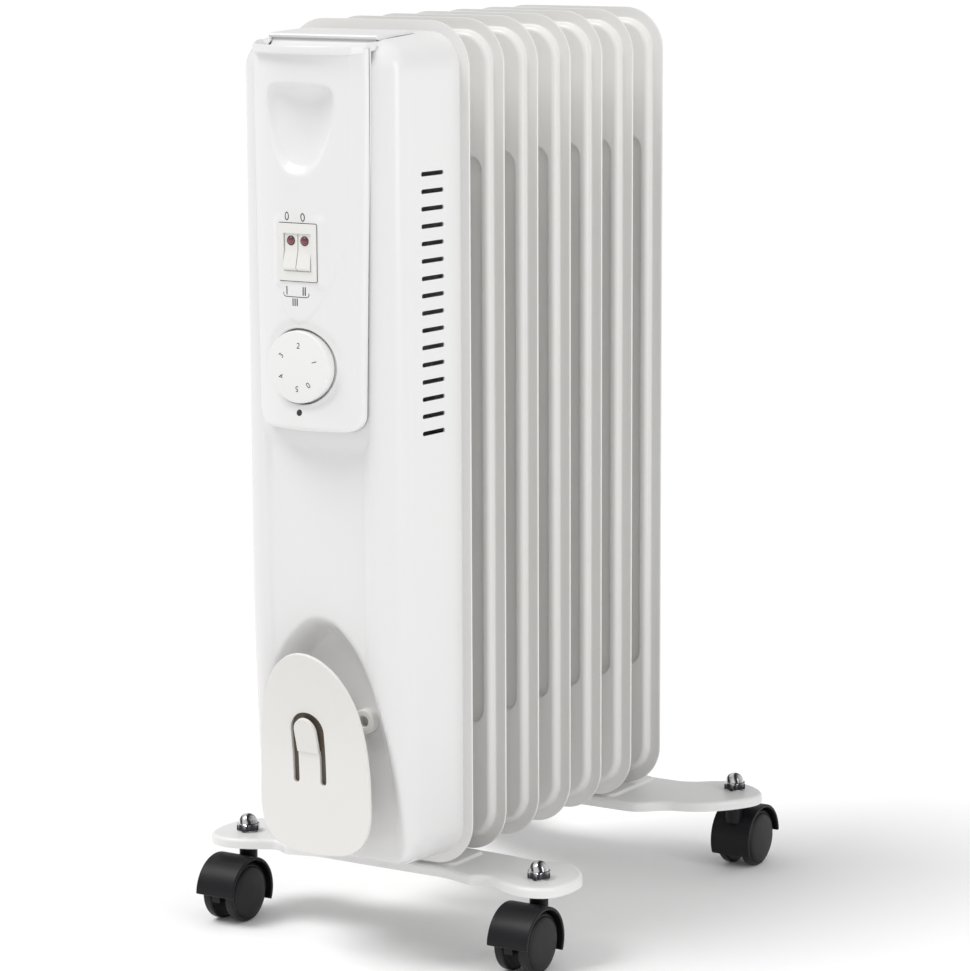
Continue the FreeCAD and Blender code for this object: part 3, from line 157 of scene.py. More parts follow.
def about_z(cx, cy):
    return lambda r, z, a: (cx + r * math.cos(a), cy + r * math.sin(a), z)


# ---------------------------------------------------------------- mesh building


def put(name, data):
    thing = bpy.data.objects.new(name, data)
    bpy.context.scene.collection.objects.link(thing)
    return thing


def final_mesh(thing):
    """A copy of an object's mesh with its modifiers applied."""
    bpy.context.view_layer.update()
    return bpy.data.meshes.new_from_object(thing.evaluated_get(bpy.context.evaluated_depsgraph_get()))


def bake(thing):
    """Make the modifiers on an object part of its mesh."""
    shaped = final_mesh(thing)
    thing.modifiers.clear()
    thing.data = shaped


def thicken(thing, wall, inner_mark=0):
    shell = thing.modifiers.new("wall", "SOLIDIFY")
    shell.thickness = wall * MM
    shell.offset = -1
    shell.material_offset = inner_mark
    bake(thing)


def round_edges(thing, width, over=32, outer="MITER_ARC"):
    """Round the edges that turn by more than `over` degrees."""
    edge = thing.modifiers.new("edges", "BEVEL")
    edge.width = width * MM
    edge.segments = 3
    edge.limit_method = "ANGLE"
    edge.angle_limit = math.radians(over)
    edge.miter_outer = outer
    bake(thing)


def shade(thing, crease):
    thing.data.shade_smooth()
    thing.data.set_sharp_from_angle(angle=math.radians(crease))


def face_front(mesh):
    """Turn an open sheet's normals to the front."""
    if sum(p.normal.y * p.area for p in mesh.polygons) > 0:
        mesh.flip_normals()


class Form:
    """Vertices and faces of one piece, in millimetres.  A face's mark is its material's number."""

    def __init__(self):
        self.points = []
        self.faces = []
        self.marks = []

    def add(self, points):
        start = len(self.points)
        self.points.extend(tuple(map(float, p)) for p in points)
        return list(range(start, len(self.points)))

    def face(self, corners, mark=0):
        self.faces.append(tuple(corners))
        self.marks.append(mark)

    def bridge(self, one, other, closed=True, mark=0):
        count = len(one)
        for i in range(count if closed else count - 1):
            j = (i + 1) % count
            self.face((one[i], one[j], other[j], other[i]), mark)

    def fill(self, outer, holes=(), mark=0):
        loops = [list(outer), *[list(h) for h in holes]]
        order = [k for loop in loops for k in loop]
        rings = [[Vector(self.points[k]) for k in loop] for loop in loops]
        for tri in tessellate_polygon(rings):
            self.face([order[k] for k in tri], mark)

    def loft(self, loops, mark=0, closed=True):
        """Bridge a row of loops and return the index lists."""
        rows = [self.add(loop) for loop in loops]
        for one, other in zip(rows, rows[1:]):
            self.bridge(one, other, closed, mark)
        return rows

    def turn(self, profile, place, steps=48, mark=0):
        """Revolve (radius, along) points.  place(radius, along, angle) gives a point in space."""
        angles = radians(*[360.0 * i / steps for i in range(steps)])
        return self.loft([[place(r, s, a) for a in angles] for r, s in profile], mark)

    def make(self, name, body, slot, materials, crease=35.0, wall=None, bevel=None, weighted=True,
             replaces=()):
        """The finished piece, riding its body.  wall is a sheet's thickness and its inside's mark."""
        mesh = bpy.data.meshes.new(name)
        points = np.array(self.points, float)
        points[:, 1] += FRONT_FIN
        mesh.from_pydata((points * MM).tolist(), [], self.faces)
        for item in materials:
            mesh.materials.append(item)
        mesh.polygons.foreach_set("material_index", self.marks)
        work = bmesh.new()
        work.from_mesh(mesh)
        bmesh.ops.remove_doubles(work, verts=work.verts, dist=2e-6)
        bmesh.ops.dissolve_degenerate(work, edges=work.edges, dist=1e-6)
        bmesh.ops.recalc_face_normals(work, faces=work.faces)
        centre = sum((v.co for v in work.verts), Vector()) / max(1, len(work.verts))
        if sum(f.calc_area() * f.normal.dot(f.calc_center_median() - centre) for f in work.faces) < 0:
            bmesh.ops.reverse_faces(work, faces=work.faces)
        work.to_mesh(mesh)
        work.free()
        thing = put(name, mesh)
        if wall:
            thicken(thing, *wall)
        if bevel:
            round_edges(thing, bevel)
        shade(thing, crease)
        if weighted:
            normal = thing.modifiers.new("shading", "WEIGHTED_NORMAL")
            normal.keep_sharp = True
            normal.weight = 50
        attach(thing, body)
        if replaces:
            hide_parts(*replaces)
        return thing


# ---------------------------------------------------------------- materials


class Finish:
    """A material whose tone, gloss and fine relief vary over the surface."""

    def __init__(self, name, colour, rough, metallic=0.0, shine=0.5):
        self.material = bpy.data.materials.new(name)
        self.material.use_nodes = True
        self.tree = self.material.node_tree
        self.shader = self.tree.nodes["Principled BSDF"]
        self.set({"Base Color": (*colour, 1), "Roughness": rough, "Metallic": metallic,
                  "Specular IOR Level": shine})
        self.where = self.node("TexCoord").outputs["Object"]

    def set(self, values):
        for socket, value in values.items():
            self.shader.inputs[socket].default_value = value

    def link(self, source, socket):
        self.tree.links.new(source, self.shader.inputs[socket])

    def node(self, kind, values=None, links=None):
        """A new node with some of its inputs set and some linked."""
        node = self.tree.nodes.new("ShaderNode" + kind)
        for socket, value in (values or {}).items():
            node.inputs[socket].default_value = value
        for socket, source in (links or {}).items():
            self.tree.links.new(source, node.inputs[socket])
        return node

    def noise(self, scale, detail, where=None):
        where = self.where if where is None else where
        return self.node("TexNoise", {"Scale": scale, "Detail": detail}, {"Vector": where}).outputs["Fac"]

    def spread(self, value, low, high, out_low, out_high):
        values = {"From Min": low, "From Max": high, "To Min": out_low, "To Max": out_high}
        return self.node("MapRange", values, {"Value": value}).outputs["Result"]

    def tone(self, scale, detail, one, other, low=0.3, high=0.7):
        """Let the colour drift between two tones."""
        factor = self.spread(self.noise(scale, detail), low, high, 0, 1)
        node = self.node("Mix", {6: (*one, 1), 7: (*other, 1)}, {0: factor})
        node.data_type = "RGBA"
        self.link(node.outputs[2], "Base Color")

    def gloss(self, noise, smoothest, roughest):
        self.link(self.spread(noise, 0.3, 0.7, smoothest, roughest), "Roughness")

    def relief(self, height, strength, distance, below=None):
        links = {"Height": height} if below is None else {"Height": height, "Normal": below}
        bumps = self.node("Bump", {"Strength": strength, "Distance": distance}, links).outputs["Normal"]
        self.link(bumps, "Normal")
        return bumps


def painted(name, colour, shade, rough):
    """Stoved enamel on steel: faint tone drift, orange peel and a slightly uneven gloss."""
    finish = Finish(name, colour, rough, shine=0.45)
    finish.tone(9, 2, colour, shade)
    finish.gloss(finish.noise(60, 3), rough - 0.015, rough + 0.02)
    peel = finish.relief(finish.noise(150, 2), 0.02, 0.0006)
    finish.relief(finish.noise(1500, 2), 0.01, 0.00008, peel)
    return finish.material


def moulded(name, colour, shade, rough, grain=0.12, scale=1800, shine=0.5):
    """Moulded plastic: fine grain, faint flow variation."""
    finish = Finish(name, colour, rough, shine=shine)
    finish.tone(14, 3, colour, shade)
    finish.gloss(finish.noise(120, 3), rough - 0.02, rough + 0.03)
    finish.relief(finish.noise(scale, 3), grain, 0.00006)
    return finish.material


def metal(name, colour, shade, rough, scratch, stretch):
    """Plated or bare metal with fine drawn lines."""
    finish = Finish(name, colour, rough, 1.0)
    finish.tone(220, 3, colour, shade, 0.35, 0.65)
    mapping = finish.node("Mapping", {"Scale": stretch}, {"Vector": finish.where})
    lines = finish.noise(400, 4, mapping.outputs["Vector"])
    finish.gloss(lines, rough - 0.04, rough + 0.07)
    finish.relief(lines, scratch, 0.00008)
    return finish.material


def painted_reflection_metal(name, bright, dark, rough):
    """Bright plated metal with a painted reflection: the base colour falls off in dark bands by which way the
    surface faces, painted to stand in for a mirrored room.
    """
    finish = Finish(name, bright, rough, 1.0)
    # Painted reflection: the surface's facing picks dark and bright bands of base colour from a ramp.
    parts = finish.node("SeparateXYZ", {}, {"Vector": finish.node("NewGeometry").outputs["Normal"]})
    turn = finish.node("Math", {1: 0.55}, {0: parts.outputs["Z"], 2: parts.outputs["X"]})
    turn.operation = "MULTIPLY_ADD"
    reflection_ramp = finish.node("ValToRGB", {}, {"Fac": finish.spread(turn.outputs[0], -1.15, 1.15, 0, 1)})
    reflection_bands = reflection_ramp.color_ramp.elements
    reflection_bands[0].color = (*dark, 1)
    reflection_bands[1].color = (*bright, 1)
    for place, tone in ((0.18, bright), (0.34, bright), (0.42, dark), (0.50, dark), (0.57, bright),
                        (0.74, bright), (0.80, dark), (0.88, dark)):
        reflection_bands.new(place).color = (*tone, 1)
    finish.link(reflection_ramp.outputs["Color"], "Base Color")
    finish.gloss(finish.noise(500, 3), rough - 0.03, rough + 0.05)
    finish.relief(finish.noise(900, 2), 0.05, 0.00006)
    return finish.material


def red_lens():
    """Clear red lens over a neon lamp."""
    finish = Finish("red_lens", (0.30, 0.004, 0.018), 0.12, shine=0.7)
    finish.set({"Coat Weight": 1.0, "Coat Roughness": 0.04})
    finish.tone(420, 2, (0.17, 0.002, 0.012), (0.08, 0.001, 0.006), 0.35, 0.65)
    finish.relief(finish.noise(900, 1), 0.15, 0.0002)
    return finish.material


FIN_ENAMEL = painted("fin_enamel", (0.74, 0.735, 0.72), (0.725, 0.72, 0.705), 0.30)
COVER_ENAMEL = painted("cover_enamel", (0.745, 0.74, 0.74), (0.735, 0.73, 0.73), 0.24)
# Near-black painted shade: the cover's inside faces seen through the vents, and the groove behind the panel's
# edge.
COVER_INSIDE_PAINTED_SHADE = painted("cover_inside", (0.035, 0.035, 0.035), (0.02, 0.02, 0.02), 0.7)
BRACKET_ENAMEL = painted("bracket_enamel", (0.76, 0.76, 0.755), (0.745, 0.745, 0.74), 0.32)
PANEL_PLASTIC = moulded("panel_plastic", (0.76, 0.755, 0.755), (0.75, 0.745, 0.745), 0.30, 0.04)
KNOB_PLASTIC = moulded("knob_white", (0.78, 0.78, 0.775), (0.765, 0.765, 0.76), 0.33, 0.05)
SWITCH_PLASTIC = moulded("switch_white", (0.75, 0.745, 0.725), (0.735, 0.73, 0.71), 0.30, 0.04)
WRAP_PLASTIC = moulded("wrap_plastic", (0.735, 0.725, 0.70), (0.72, 0.71, 0.685), 0.42, 0.08)
DARK_PLASTIC = moulded("dark_plastic", (0.03, 0.028, 0.026), (0.02, 0.019, 0.018), 0.5)
# Dark brown painted shade for the sheet behind the slot round the plate's tongue.
POCKET_PAINTED_SHADE = moulded("pocket_painted_shade", (0.12, 0.095, 0.07), (0.08, 0.065, 0.05), 0.6, 0.2, 900)
# Black for the printed marks, and for the painted shadow line round the switch frame.
INK_AND_PAINTED_SHADOW = moulded("ink_and_painted_shadow", (0.02, 0.02, 0.022), (0.03, 0.03, 0.032), 0.5, 0.03)
CASTER_BLACK = moulded("caster_black", (0.008, 0.008, 0.010), (0.006, 0.006, 0.007), 0.40, 0.10, 1400, 0.22)
WHEEL_BLACK = moulded("wheel_black", (0.011, 0.011, 0.012), (0.008, 0.008, 0.009), 0.42, 0.10, 1600, 0.25)
# Plated stems and nuts; their base colour holds a painted reflection.
CHROME_PAINTED_REFLECTION = painted_reflection_metal("chrome", (0.83, 0.83, 0.84), (0.045, 0.045, 0.05), 0.08)
ZINC = metal("zinc", (0.62, 0.63, 0.64), (0.54, 0.55, 0.57), 0.32, 0.12, (1, 1, 3))
ELEMENT_STEEL = metal("element_steel", (0.50, 0.48, 0.45), (0.42, 0.40, 0.37), 0.42, 0.15, (1, 8, 1))
BRASS = metal("brass", (0.72, 0.52, 0.24), (0.64, 0.45, 0.20), 0.30, 0.12, (1, 1, 3))
GASKET = moulded("gasket", (0.10, 0.085, 0.07), (0.075, 0.065, 0.055), 0.75, 0.3, 700)
SLEEVE = moulded("lead_sleeve", (0.55, 0.53, 0.48), (0.48, 0.46, 0.41), 0.62, 0.35, 1100)
LENS = red_lens()


def paint(material, *names):
    """Give CAD nodes that stay in view their finish."""
    for name in names:
        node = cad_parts[name]
        if not node.material_slots:
            node.data.materials.append(material)
        for place in node.material_slots:
            place.link = "OBJECT"
            place.material = material


# ---------------------------------------------------------------- fins

FIN_HALF, FIN_LOW, FIN_HIGH, FIN_CORNER = 73.5, 63.0, 643.0, 31.0
HEADERS = (FIN_LOW + 50, FIN_HIGH - 50)
SLOT_INSET, SLOT_CORNER, SLOT_INNER, SLOT_OUTER = 91.0, 12.0, 12.0, 59.7
COLLAR, SEAT = 20.0, 14.0


def fin_loop(inset, depth, side, base):
    edge = FIN_HALF - FIN_CORNER
    low, high = FIN_LOW + FIN_CORNER, FIN_HIGH - FIN_CORNER
    return [(x, base - depth * side, z) for x, z in
            rounded_loop(-edge, edge, low, high, FIN_CORNER - inset, 12)]


def fin_slot(form, left, right, side, base):
    """A long sunk slot in the raised face, with a rolled edge.  Returns its edge loop."""
    low, high = FIN_LOW + SLOT_INSET + SLOT_CORNER, FIN_HIGH - SLOT_INSET - SLOT_CORNER
    profile = [(0, 6.0), (0.45, 5.93), (0.95, 5.68), (1.35, 5.25), (1.6, 4.6), (1.8, 3.9), (2.05, 3.3),
               (2.5, 2.8), (3.1, 2.56), (4.0, 2.5)]
    rows = form.loft([[(x, base - depth * side, z) for x, z in
                       rounded_loop(left + SLOT_CORNER, right - SLOT_CORNER, low, high,
                                    SLOT_CORNER - inset, 9)]
                      for inset, depth in profile])
    form.fill(rows[-1])
    return rows[0]


def fin_collar(form, centre, side, base, length):
    """A round neck drawn out of the face towards the next fin, with a welded seam at its end."""
    profile = [(COLLAR + 4, 6.0), (COLLAR + 2.7, 6.15), (COLLAR + 1.3, 6.75), (COLLAR + 0.4, 7.9),
               (COLLAR, 9.5), (COLLAR, length - 0.7), (COLLAR - 0.5, length - 0.05),
               (COLLAR - 2, length - 0.02)]
    rows = form.turn(profile, lambda r, d, a: (r * math.cos(a), base - d * side,
                                               centre + r * math.sin(a)), 56)
    if length == SEAT:
        form.fill(rows[-1])
    return rows[0]


def fin(index):
    """One pressed fin: a flat rim, a rolled shoulder, and a raised face on each side."""
    form = Form()
    base = index * FIN_PITCH
    profile = [(0, 0), (0, 0.5), (0.14, 0.78), (0.42, 0.9), (3.0, 0.9), (7.0, 0.9)]
    profile += arc(7.0, 2.5, 1.6, -90, -8, 5)[1:]
    profile += arc(12.6, 2.0, 4.0, 172, 90, 8)
    for side in (1, -1):
        rows = form.loft([fin_loop(s, d, side, base) for s, d in profile])
        holes = [fin_slot(form, -SLOT_OUTER, -SLOT_INNER, side, base),
                 fin_slot(form, SLOT_INNER, SLOT_OUTER, side, base)]
        front = index == 0 and side == 1
        back = index == FIN_COUNT - 1 and side == -1
        for centre in () if back else HEADERS[:1] if front else HEADERS:
            holes.append(fin_collar(form, centre, side, base, SEAT if front else FIN_PITCH / 2))
        form.fill(rows[-1], holes)
    name = f"fin_{index + 1}"
    form.make("pressed_" + name, "radiator", "fin_enamel", [FIN_ENAMEL], replaces=[name])


for number in range(FIN_COUNT):
    fin(number)


# ---------------------------------------------------------------- control cover

COVER_HALF, COVER_LOW, COVER_HIGH = 66.5, 70.0, 636.0
COVER_CORNER, COVER_DEPTH, COVER_DRAFT, COVER_ROUND = 24.0, 77.0, 4.4, 20.0
COVER_REAR = 0.9
KNEE, FOOT_DEPTH = 300.0, 65.0
SUNK_HALF, SUNK_DEPTH, SUNK_TOP = 43.0, 1.9, 372.0
WELL_FLOOR, WELL_BAND = 58.0, 15.0
TRAY_HALF, TRAY_BACK, TRAY_FLOOR = 41.6, 61.0, 600.0
KNEE_FALL = COVER_DEPTH - FOOT_DEPTH
KNEE_RADIUS = ((KNEE - FIN_LOW) ** 2 + KNEE_FALL ** 2) / (2 * KNEE_FALL)
COVER_SLOPE = COVER_DRAFT / (COVER_DEPTH - COVER_REAR)
WELL_EDGE = [(0, 245.5), (8, 244.3), (16, 240), (27, 229), (36, 216), (43, 200), (50, 178), (55.5, 153),
             (60, 123), (63, 95), (64.5, 60)]
VENT_REAR, VENT_FRONT, VENT_LOW, VENT_PITCH, VENT_COUNT, VENT_WIDE = 20.0, 45.0, 371.0, 11.54, 16, 3.0


def foot_back(z):
    """How far the cover's front falls back at height z below the knee."""
    drop = np.clip(KNEE - z, 0, None)
    return KNEE_RADIUS - np.sqrt(KNEE_RADIUS ** 2 - drop ** 2)


WELL_LINE = open_from(flowing(WELL_EDGE, 6))


def cover_wall(depth):
    """How far the drafted side of the cover leans in at a depth."""
    return COVER_SLOPE * (depth - COVER_REAR)


def cover_relief(x, y, z):
    """The cover's front with its sunk centre and the arched well that the cord wrap plate stands in."""
    sunk = np.minimum(smooth((SUNK_HALF - np.abs(x)) / 6.5), smooth((SUNK_TOP - z) / 14))
    y = np.where(y < -COVER_DEPTH + 6, np.maximum(y, -COVER_DEPTH + SUNK_DEPTH * sunk), y)
    half = np.interp(z, [p[1] for p in reversed(WELL_EDGE)], [p[0] for p in reversed(WELL_EDGE)], right=-1)
    inside = (np.abs(x) < half) & (z < WELL_EDGE[0][1])
    depth = smooth(line_distance(x, z, WELL_LINE) / WELL_BAND) * inside
    return np.where(y < -WELL_FLOOR, y + (-WELL_FLOOR - y) * depth, y)


def cover_profile():
    """(inset, y, whether it follows the foot) from the cover's rear edge round to its front face."""
    steep = math.degrees(math.atan(COVER_SLOPE))
    centre_depth = COVER_DEPTH - COVER_ROUND
    centre_inset = cover_wall(centre_depth) + COVER_ROUND / math.cos(math.radians(steep))
    profile = [(cover_wall(d), -d, False) for d in (COVER_REAR, 18.0, 47.0)]
    profile += [(s, y, True) for s, y in
                arc(centre_inset, -centre_depth, COVER_ROUND, 180 + steep, 270, 14)]
    return profile + [(s, -COVER_DEPTH, True) for s in (23.6, COVER_CORNER)]


def vent_rings(form, side):
    """The outlines of the vents in one side wall."""
    r = VENT_WIDE * 0.46
    holes = []
    for number in range(VENT_COUNT):
        middle = VENT_LOW + VENT_PITCH * number
        ring = rounded_loop(-VENT_FRONT + r, -VENT_REAR - r, middle - VENT_WIDE / 2 + r,
                            middle + VENT_WIDE / 2 - r, r, 4)
        holes.append(form.add([(side * (COVER_HALF - cover_wall(-y)), y, z) for y, z in ring]))
    return holes


def control_cover():
    """Bent sheet cover, open at the back and under the panel's tray."""
    form = Form()
    edge = COVER_HALF - COVER_CORNER
    low, high = COVER_LOW + COVER_CORNER, COVER_HIGH - COVER_CORNER
    xs = spaced(-edge, edge, 1.4)[1:-1]
    vents_low = VENT_LOW - VENT_PITCH / 2
    vents_high = VENT_LOW + VENT_PITCH * (VENT_COUNT - 0.5)
    zs = spaced(low, vents_low, 2.0)[1:] + spaced(vents_low, vents_high, 2.0)[1:]
    zs += spaced(vents_high, high, 2.0)[1:-1]
    rows = []
    for inset, y, follows in cover_profile():
        ring = np.array(rounded_loop(-edge, edge, low, high, COVER_CORNER - inset, 12, xs, zs))
        x, z = ring[:, 0], ring[:, 1]
        deep = np.full(len(x), y) + (foot_back(z) if follows else 0)
        rows.append(form.add(zip(x, cover_relief(x, deep, z), z)))
    pts = form.points

    def under_tray(*corners):
        return all(abs(pts[k][0]) < TRAY_HALF and pts[k][1] < -TRAY_BACK and pts[k][2] > TRAY_FLOOR
                   for k in corners)

    def by_vents(k):
        return vents_low - 0.01 <= pts[k][2] <= vents_high + 0.01 and abs(pts[k][0]) > 60

    for number, (one, other) in enumerate(zip(rows, rows[1:])):
        count = len(one)
        for i in range(count):
            j = (i + 1) % count
            corners = (one[i], one[j], other[j], other[i])
            vented = number == 1 and by_vents(one[i]) and by_vents(one[j])
            if not vented and not under_tray(*corners):
                form.face(corners)
    all_x, all_z = [-edge, *xs, edge], [low, *zs, high]
    gx, gz = np.meshgrid(all_x, all_z)
    gy = cover_relief(gx, -COVER_DEPTH + foot_back(gz), gz)
    grid = [form.add(zip(gx[k], gy[k], gz[k])) for k in range(len(all_z))]
    for one, other in zip(grid, grid[1:]):
        for a, b, c, d in zip(one, one[1:], other[1:], other):
            if not under_tray(a, b, c, d):
                form.face((a, b, c, d))
    for side in (1, -1):
        back, front = ([k for k in row if by_vents(k) and pts[k][0] * side > 0] for row in rows[1:3])
        back.sort(key=lambda k: pts[k][2])
        front.sort(key=lambda k: -pts[k][2])
        form.fill(back + front, vent_rings(form, side))
    # The inside faces of the sheet take the near-black painted shade.
    form.make("cover", "radiator", "cover_enamel", [COVER_ENAMEL, COVER_INSIDE_PAINTED_SHADE], wall=(1.0, 1),
              replaces=["control_cover"])


control_cover()


# ---------------------------------------------------------------- control panel

PANEL_LOW, PANEL_TOP, PANEL_WIDE, PANEL_NARROW = 375.0, 629.5, 46.0, 41.5
PANEL_TAPER_TOP, PANEL_CORNER, PANEL_SIDE, PANEL_FRONT = 590.0, 12.0, 79.5, 96.0
PANEL_BOW = (PANEL_WIDE ** 2 + (PANEL_FRONT - PANEL_SIDE) ** 2) / (2 * (PANEL_FRONT - PANEL_SIDE))
PANEL_EDGE = 3.2
LIP_HALF, LIP_CORNER, LIP_FRONT = 38.0, 90.0, 101.0
SWITCH_Z, SWITCH_HALF, SWITCH_HIGH = 494.0, 15.0, 19.0
KNOB_Z, KNOB_RADIUS, KNOB_FACE, DISH_FLOOR = 418.0, 24.2, 99.5, 89.0
DISH_RADIUS, DISH_OUTER, DISH_ROUND, PATCH = 25.5, 33.0, 0.9, 36.0
SKIRT_GAP, SKIRT_TUCK = 1.1, 1.3
SCOOP_SIDE = [(0, 541.5), (8, 543), (14.5, 547.6), (20, 556), (24.3, 567), (27.4, 579), (28.8, 590),
              (28.2, 598), (24.8, 603.6), (17, 605.4), (0, 605.8)]
SCOOP_DEPTH, SCOOP_MIDDLE = 11.5, 587.0
EMBOSS = [(447, 0), (449, 6), (458, 14.5), (478, 25), (501, 33.5), (531, 38), (560, 40), (629.5, 40.5)]

scoop_edge = closed_from(SCOOP_SIDE, 6)
scoop_turn = np.unwrap([math.atan2(z - SCOOP_MIDDLE, x) for x, z in scoop_edge])
scoop_reach = np.array([math.hypot(x, z - SCOOP_MIDDLE) for x, z in scoop_edge])


def scoop_share(x, z):
    """0 in the middle of the finger scoop, 1 on its edge."""
    turn = np.arctan2(z - SCOOP_MIDDLE, x)
    reach = np.interp(turn, scoop_turn, scoop_reach, period=2 * math.pi)
    return np.hypot(x, z - SCOOP_MIDDLE) / reach


def panel_half(z):
    return np.interp(z, [PANEL_LOW, PANEL_TAPER_TOP], [PANEL_NARROW, PANEL_WIDE])


def panel_y(x, z):
    """Depth of the panel's face before its edges are rounded."""
    y = -PANEL_FRONT + PANEL_BOW - np.sqrt(PANEL_BOW ** 2 - x ** 2)
    raised = np.interp(z, [e[0] for e in EMBOSS], [e[1] for e in EMBOSS], left=-5) - np.abs(x)
    y = y - 0.45 * smooth((raised + 0.6) / 1.2)
    outside = np.hypot(np.clip(np.abs(x) - SWITCH_HALF - 1, 0, None),
                       np.clip(np.abs(z - SWITCH_Z) - SWITCH_HIGH - 1, 0, None))
    y = y + (-PANEL_FRONT - y) * smooth(1 - outside / 6)
    round_knob = np.hypot(x, z - KNOB_Z)
    y = y + 0.9 * smooth((DISH_OUTER - round_knob) / 6)
    share = np.clip(scoop_share(x, z), 0, 1)
    return y + SCOOP_DEPTH * (1 - share ** 2.4) * smooth((1 - share) / 0.2)


def panel_round(gap):
    """How far the face falls back at a distance `gap` in from its edge."""
    near = np.clip(PANEL_EDGE - gap, 0, PANEL_EDGE)
    return PANEL_EDGE - np.sqrt(PANEL_EDGE ** 2 - near ** 2)


def panel_bottom(x):
    over = np.clip(np.abs(x) - (PANEL_NARROW - PANEL_CORNER), 0, PANEL_CORNER)
    return PANEL_LOW + PANEL_CORNER - np.sqrt(PANEL_CORNER ** 2 - over ** 2)


def panel_gap(x, z):
    """Distance in from the panel's side and bottom edges."""
    side = panel_half(z) - np.abs(x)
    low = z - PANEL_LOW
    corner = PANEL_CORNER - np.hypot(np.clip(PANEL_CORNER - side, 0, None),
                                     np.clip(PANEL_CORNER - low, 0, None))
    cornered = (side < PANEL_CORNER) & (low < PANEL_CORNER)
    return np.clip(np.where(cornered, corner, np.minimum(side, low)), 0, None)


def panel_surface(x, z):
    return panel_y(x, z) + panel_round(panel_gap(x, z))


PANEL_NEAR = [0, 0.08, 0.25, 0.5, 0.85, 1.3, 1.9, 2.6, 3.4]
PANEL_INNER = spaced(-PATCH, PATCH, 0.8)
FOOT_BLEND = 25.0


def panel_grid():
    """Rows of (x, z) stations: the columns follow the tapered sides, and the rows the rounded foot."""
    columns = [(-1, e) for e in PANEL_NEAR] + [(0, x) for x in PANEL_INNER]
    columns += [(1, e) for e in reversed(PANEL_NEAR)]
    heights = spaced(PANEL_LOW + 7, KNOB_Z + PATCH, 0.9) + spaced(KNOB_Z + PATCH, PANEL_TOP - 2, 0.9)[1:]
    rises = sorted({*PANEL_NEAR, 4.4, 5.6, *[round(z - PANEL_LOW, 4) for z in heights]})
    grid = []
    for rise in rises:
        row = []
        for side, value in columns:
            start = float(panel_bottom((PANEL_NARROW - value) * side if side else value))
            z = PANEL_LOW + rise
            if rise < FOOT_BLEND:
                z = start + rise * (PANEL_LOW + FOOT_BLEND - start) / FOOT_BLEND
            row.append(((float(panel_half(z)) - value) * side if side else value, z))
        grid.append(row)
    return np.array(grid)


def panel_dish(form, ring):
    """The round dish that the knob stands in, from a square ring of the face's vertices inwards."""
    base = np.array([[form.points[k][0], form.points[k][2] - KNOB_Z] for k in ring])
    angle = np.arctan2(base[:, 1], base[:, 0])
    lip = DISH_RADIUS + DISH_ROUND
    rows = [(share, DISH_OUTER + 0.6, 0) for share in (0.2, 0.4, 0.6, 0.8, 1.0)]
    rows += [(1.0, radius, 0) for radius in (32.4, 31.4, 30.4, 29.4, 28.4, 27.7)]
    for turn in [part * math.pi / 2 for part in (0.0, 0.12, 0.3, 0.55, 0.8, 1.0)]:
        rows.append((1.0, lip - DISH_ROUND * math.sin(turn), DISH_ROUND * (1 - math.cos(turn))))
    previous = ring
    for share, radius, drop in rows:
        x = base[:, 0] * (1 - share) + radius * np.cos(angle) * share
        z = base[:, 1] * (1 - share) + radius * np.sin(angle) * share
        y = panel_surface(x, z + KNOB_Z)
        if drop:
            y = panel_surface(lip * np.cos(angle), lip * np.sin(angle) + KNOB_Z) + drop
        current = form.add(zip(x, y, z + KNOB_Z))
        form.bridge(previous, current)
        previous = current
    for radius, depth in ((DISH_RADIUS - 0.05, DISH_FLOOR + 0.7), (DISH_RADIUS - 0.6, DISH_FLOOR),
                          (12.0, DISH_FLOOR), (5.4, DISH_FLOOR)):
        y = -np.full(len(ring), depth)
        if radius > 20:
            y = np.maximum(y, [form.points[k][1] for k in previous])
        current = form.add(zip(radius * np.cos(angle), y, radius * np.sin(angle) + KNOB_Z))
        form.bridge(previous, current)
        previous = current


def panel_skirt(form, outline):
    """The panel's side wall, the groove behind it painted near-black as shade, and the tuck into the cover.
    """
    pts = form.points
    seam = -COVER_DEPTH - SKIRT_GAP
    skirt = form.add([(pts[k][0], seam, pts[k][2]) for k in outline])
    rows = [skirt]
    for y in (seam, -COVER_DEPTH + 1.6):
        line = []
        for x, _, z in [pts[k] for k in outline]:
            foot = SKIRT_TUCK if z < PANEL_LOW + 11 else 0
            line.append((x - math.copysign(min(abs(x), SKIRT_TUCK), x), y, z + foot))
        rows.append(form.add(line))
    form.bridge(outline, skirt, closed=False)
    # The groove's faces carry the near-black painted shade of the seam.
    for one, other in zip(rows, rows[1:]):
        form.bridge(one, other, closed=False, mark=1)


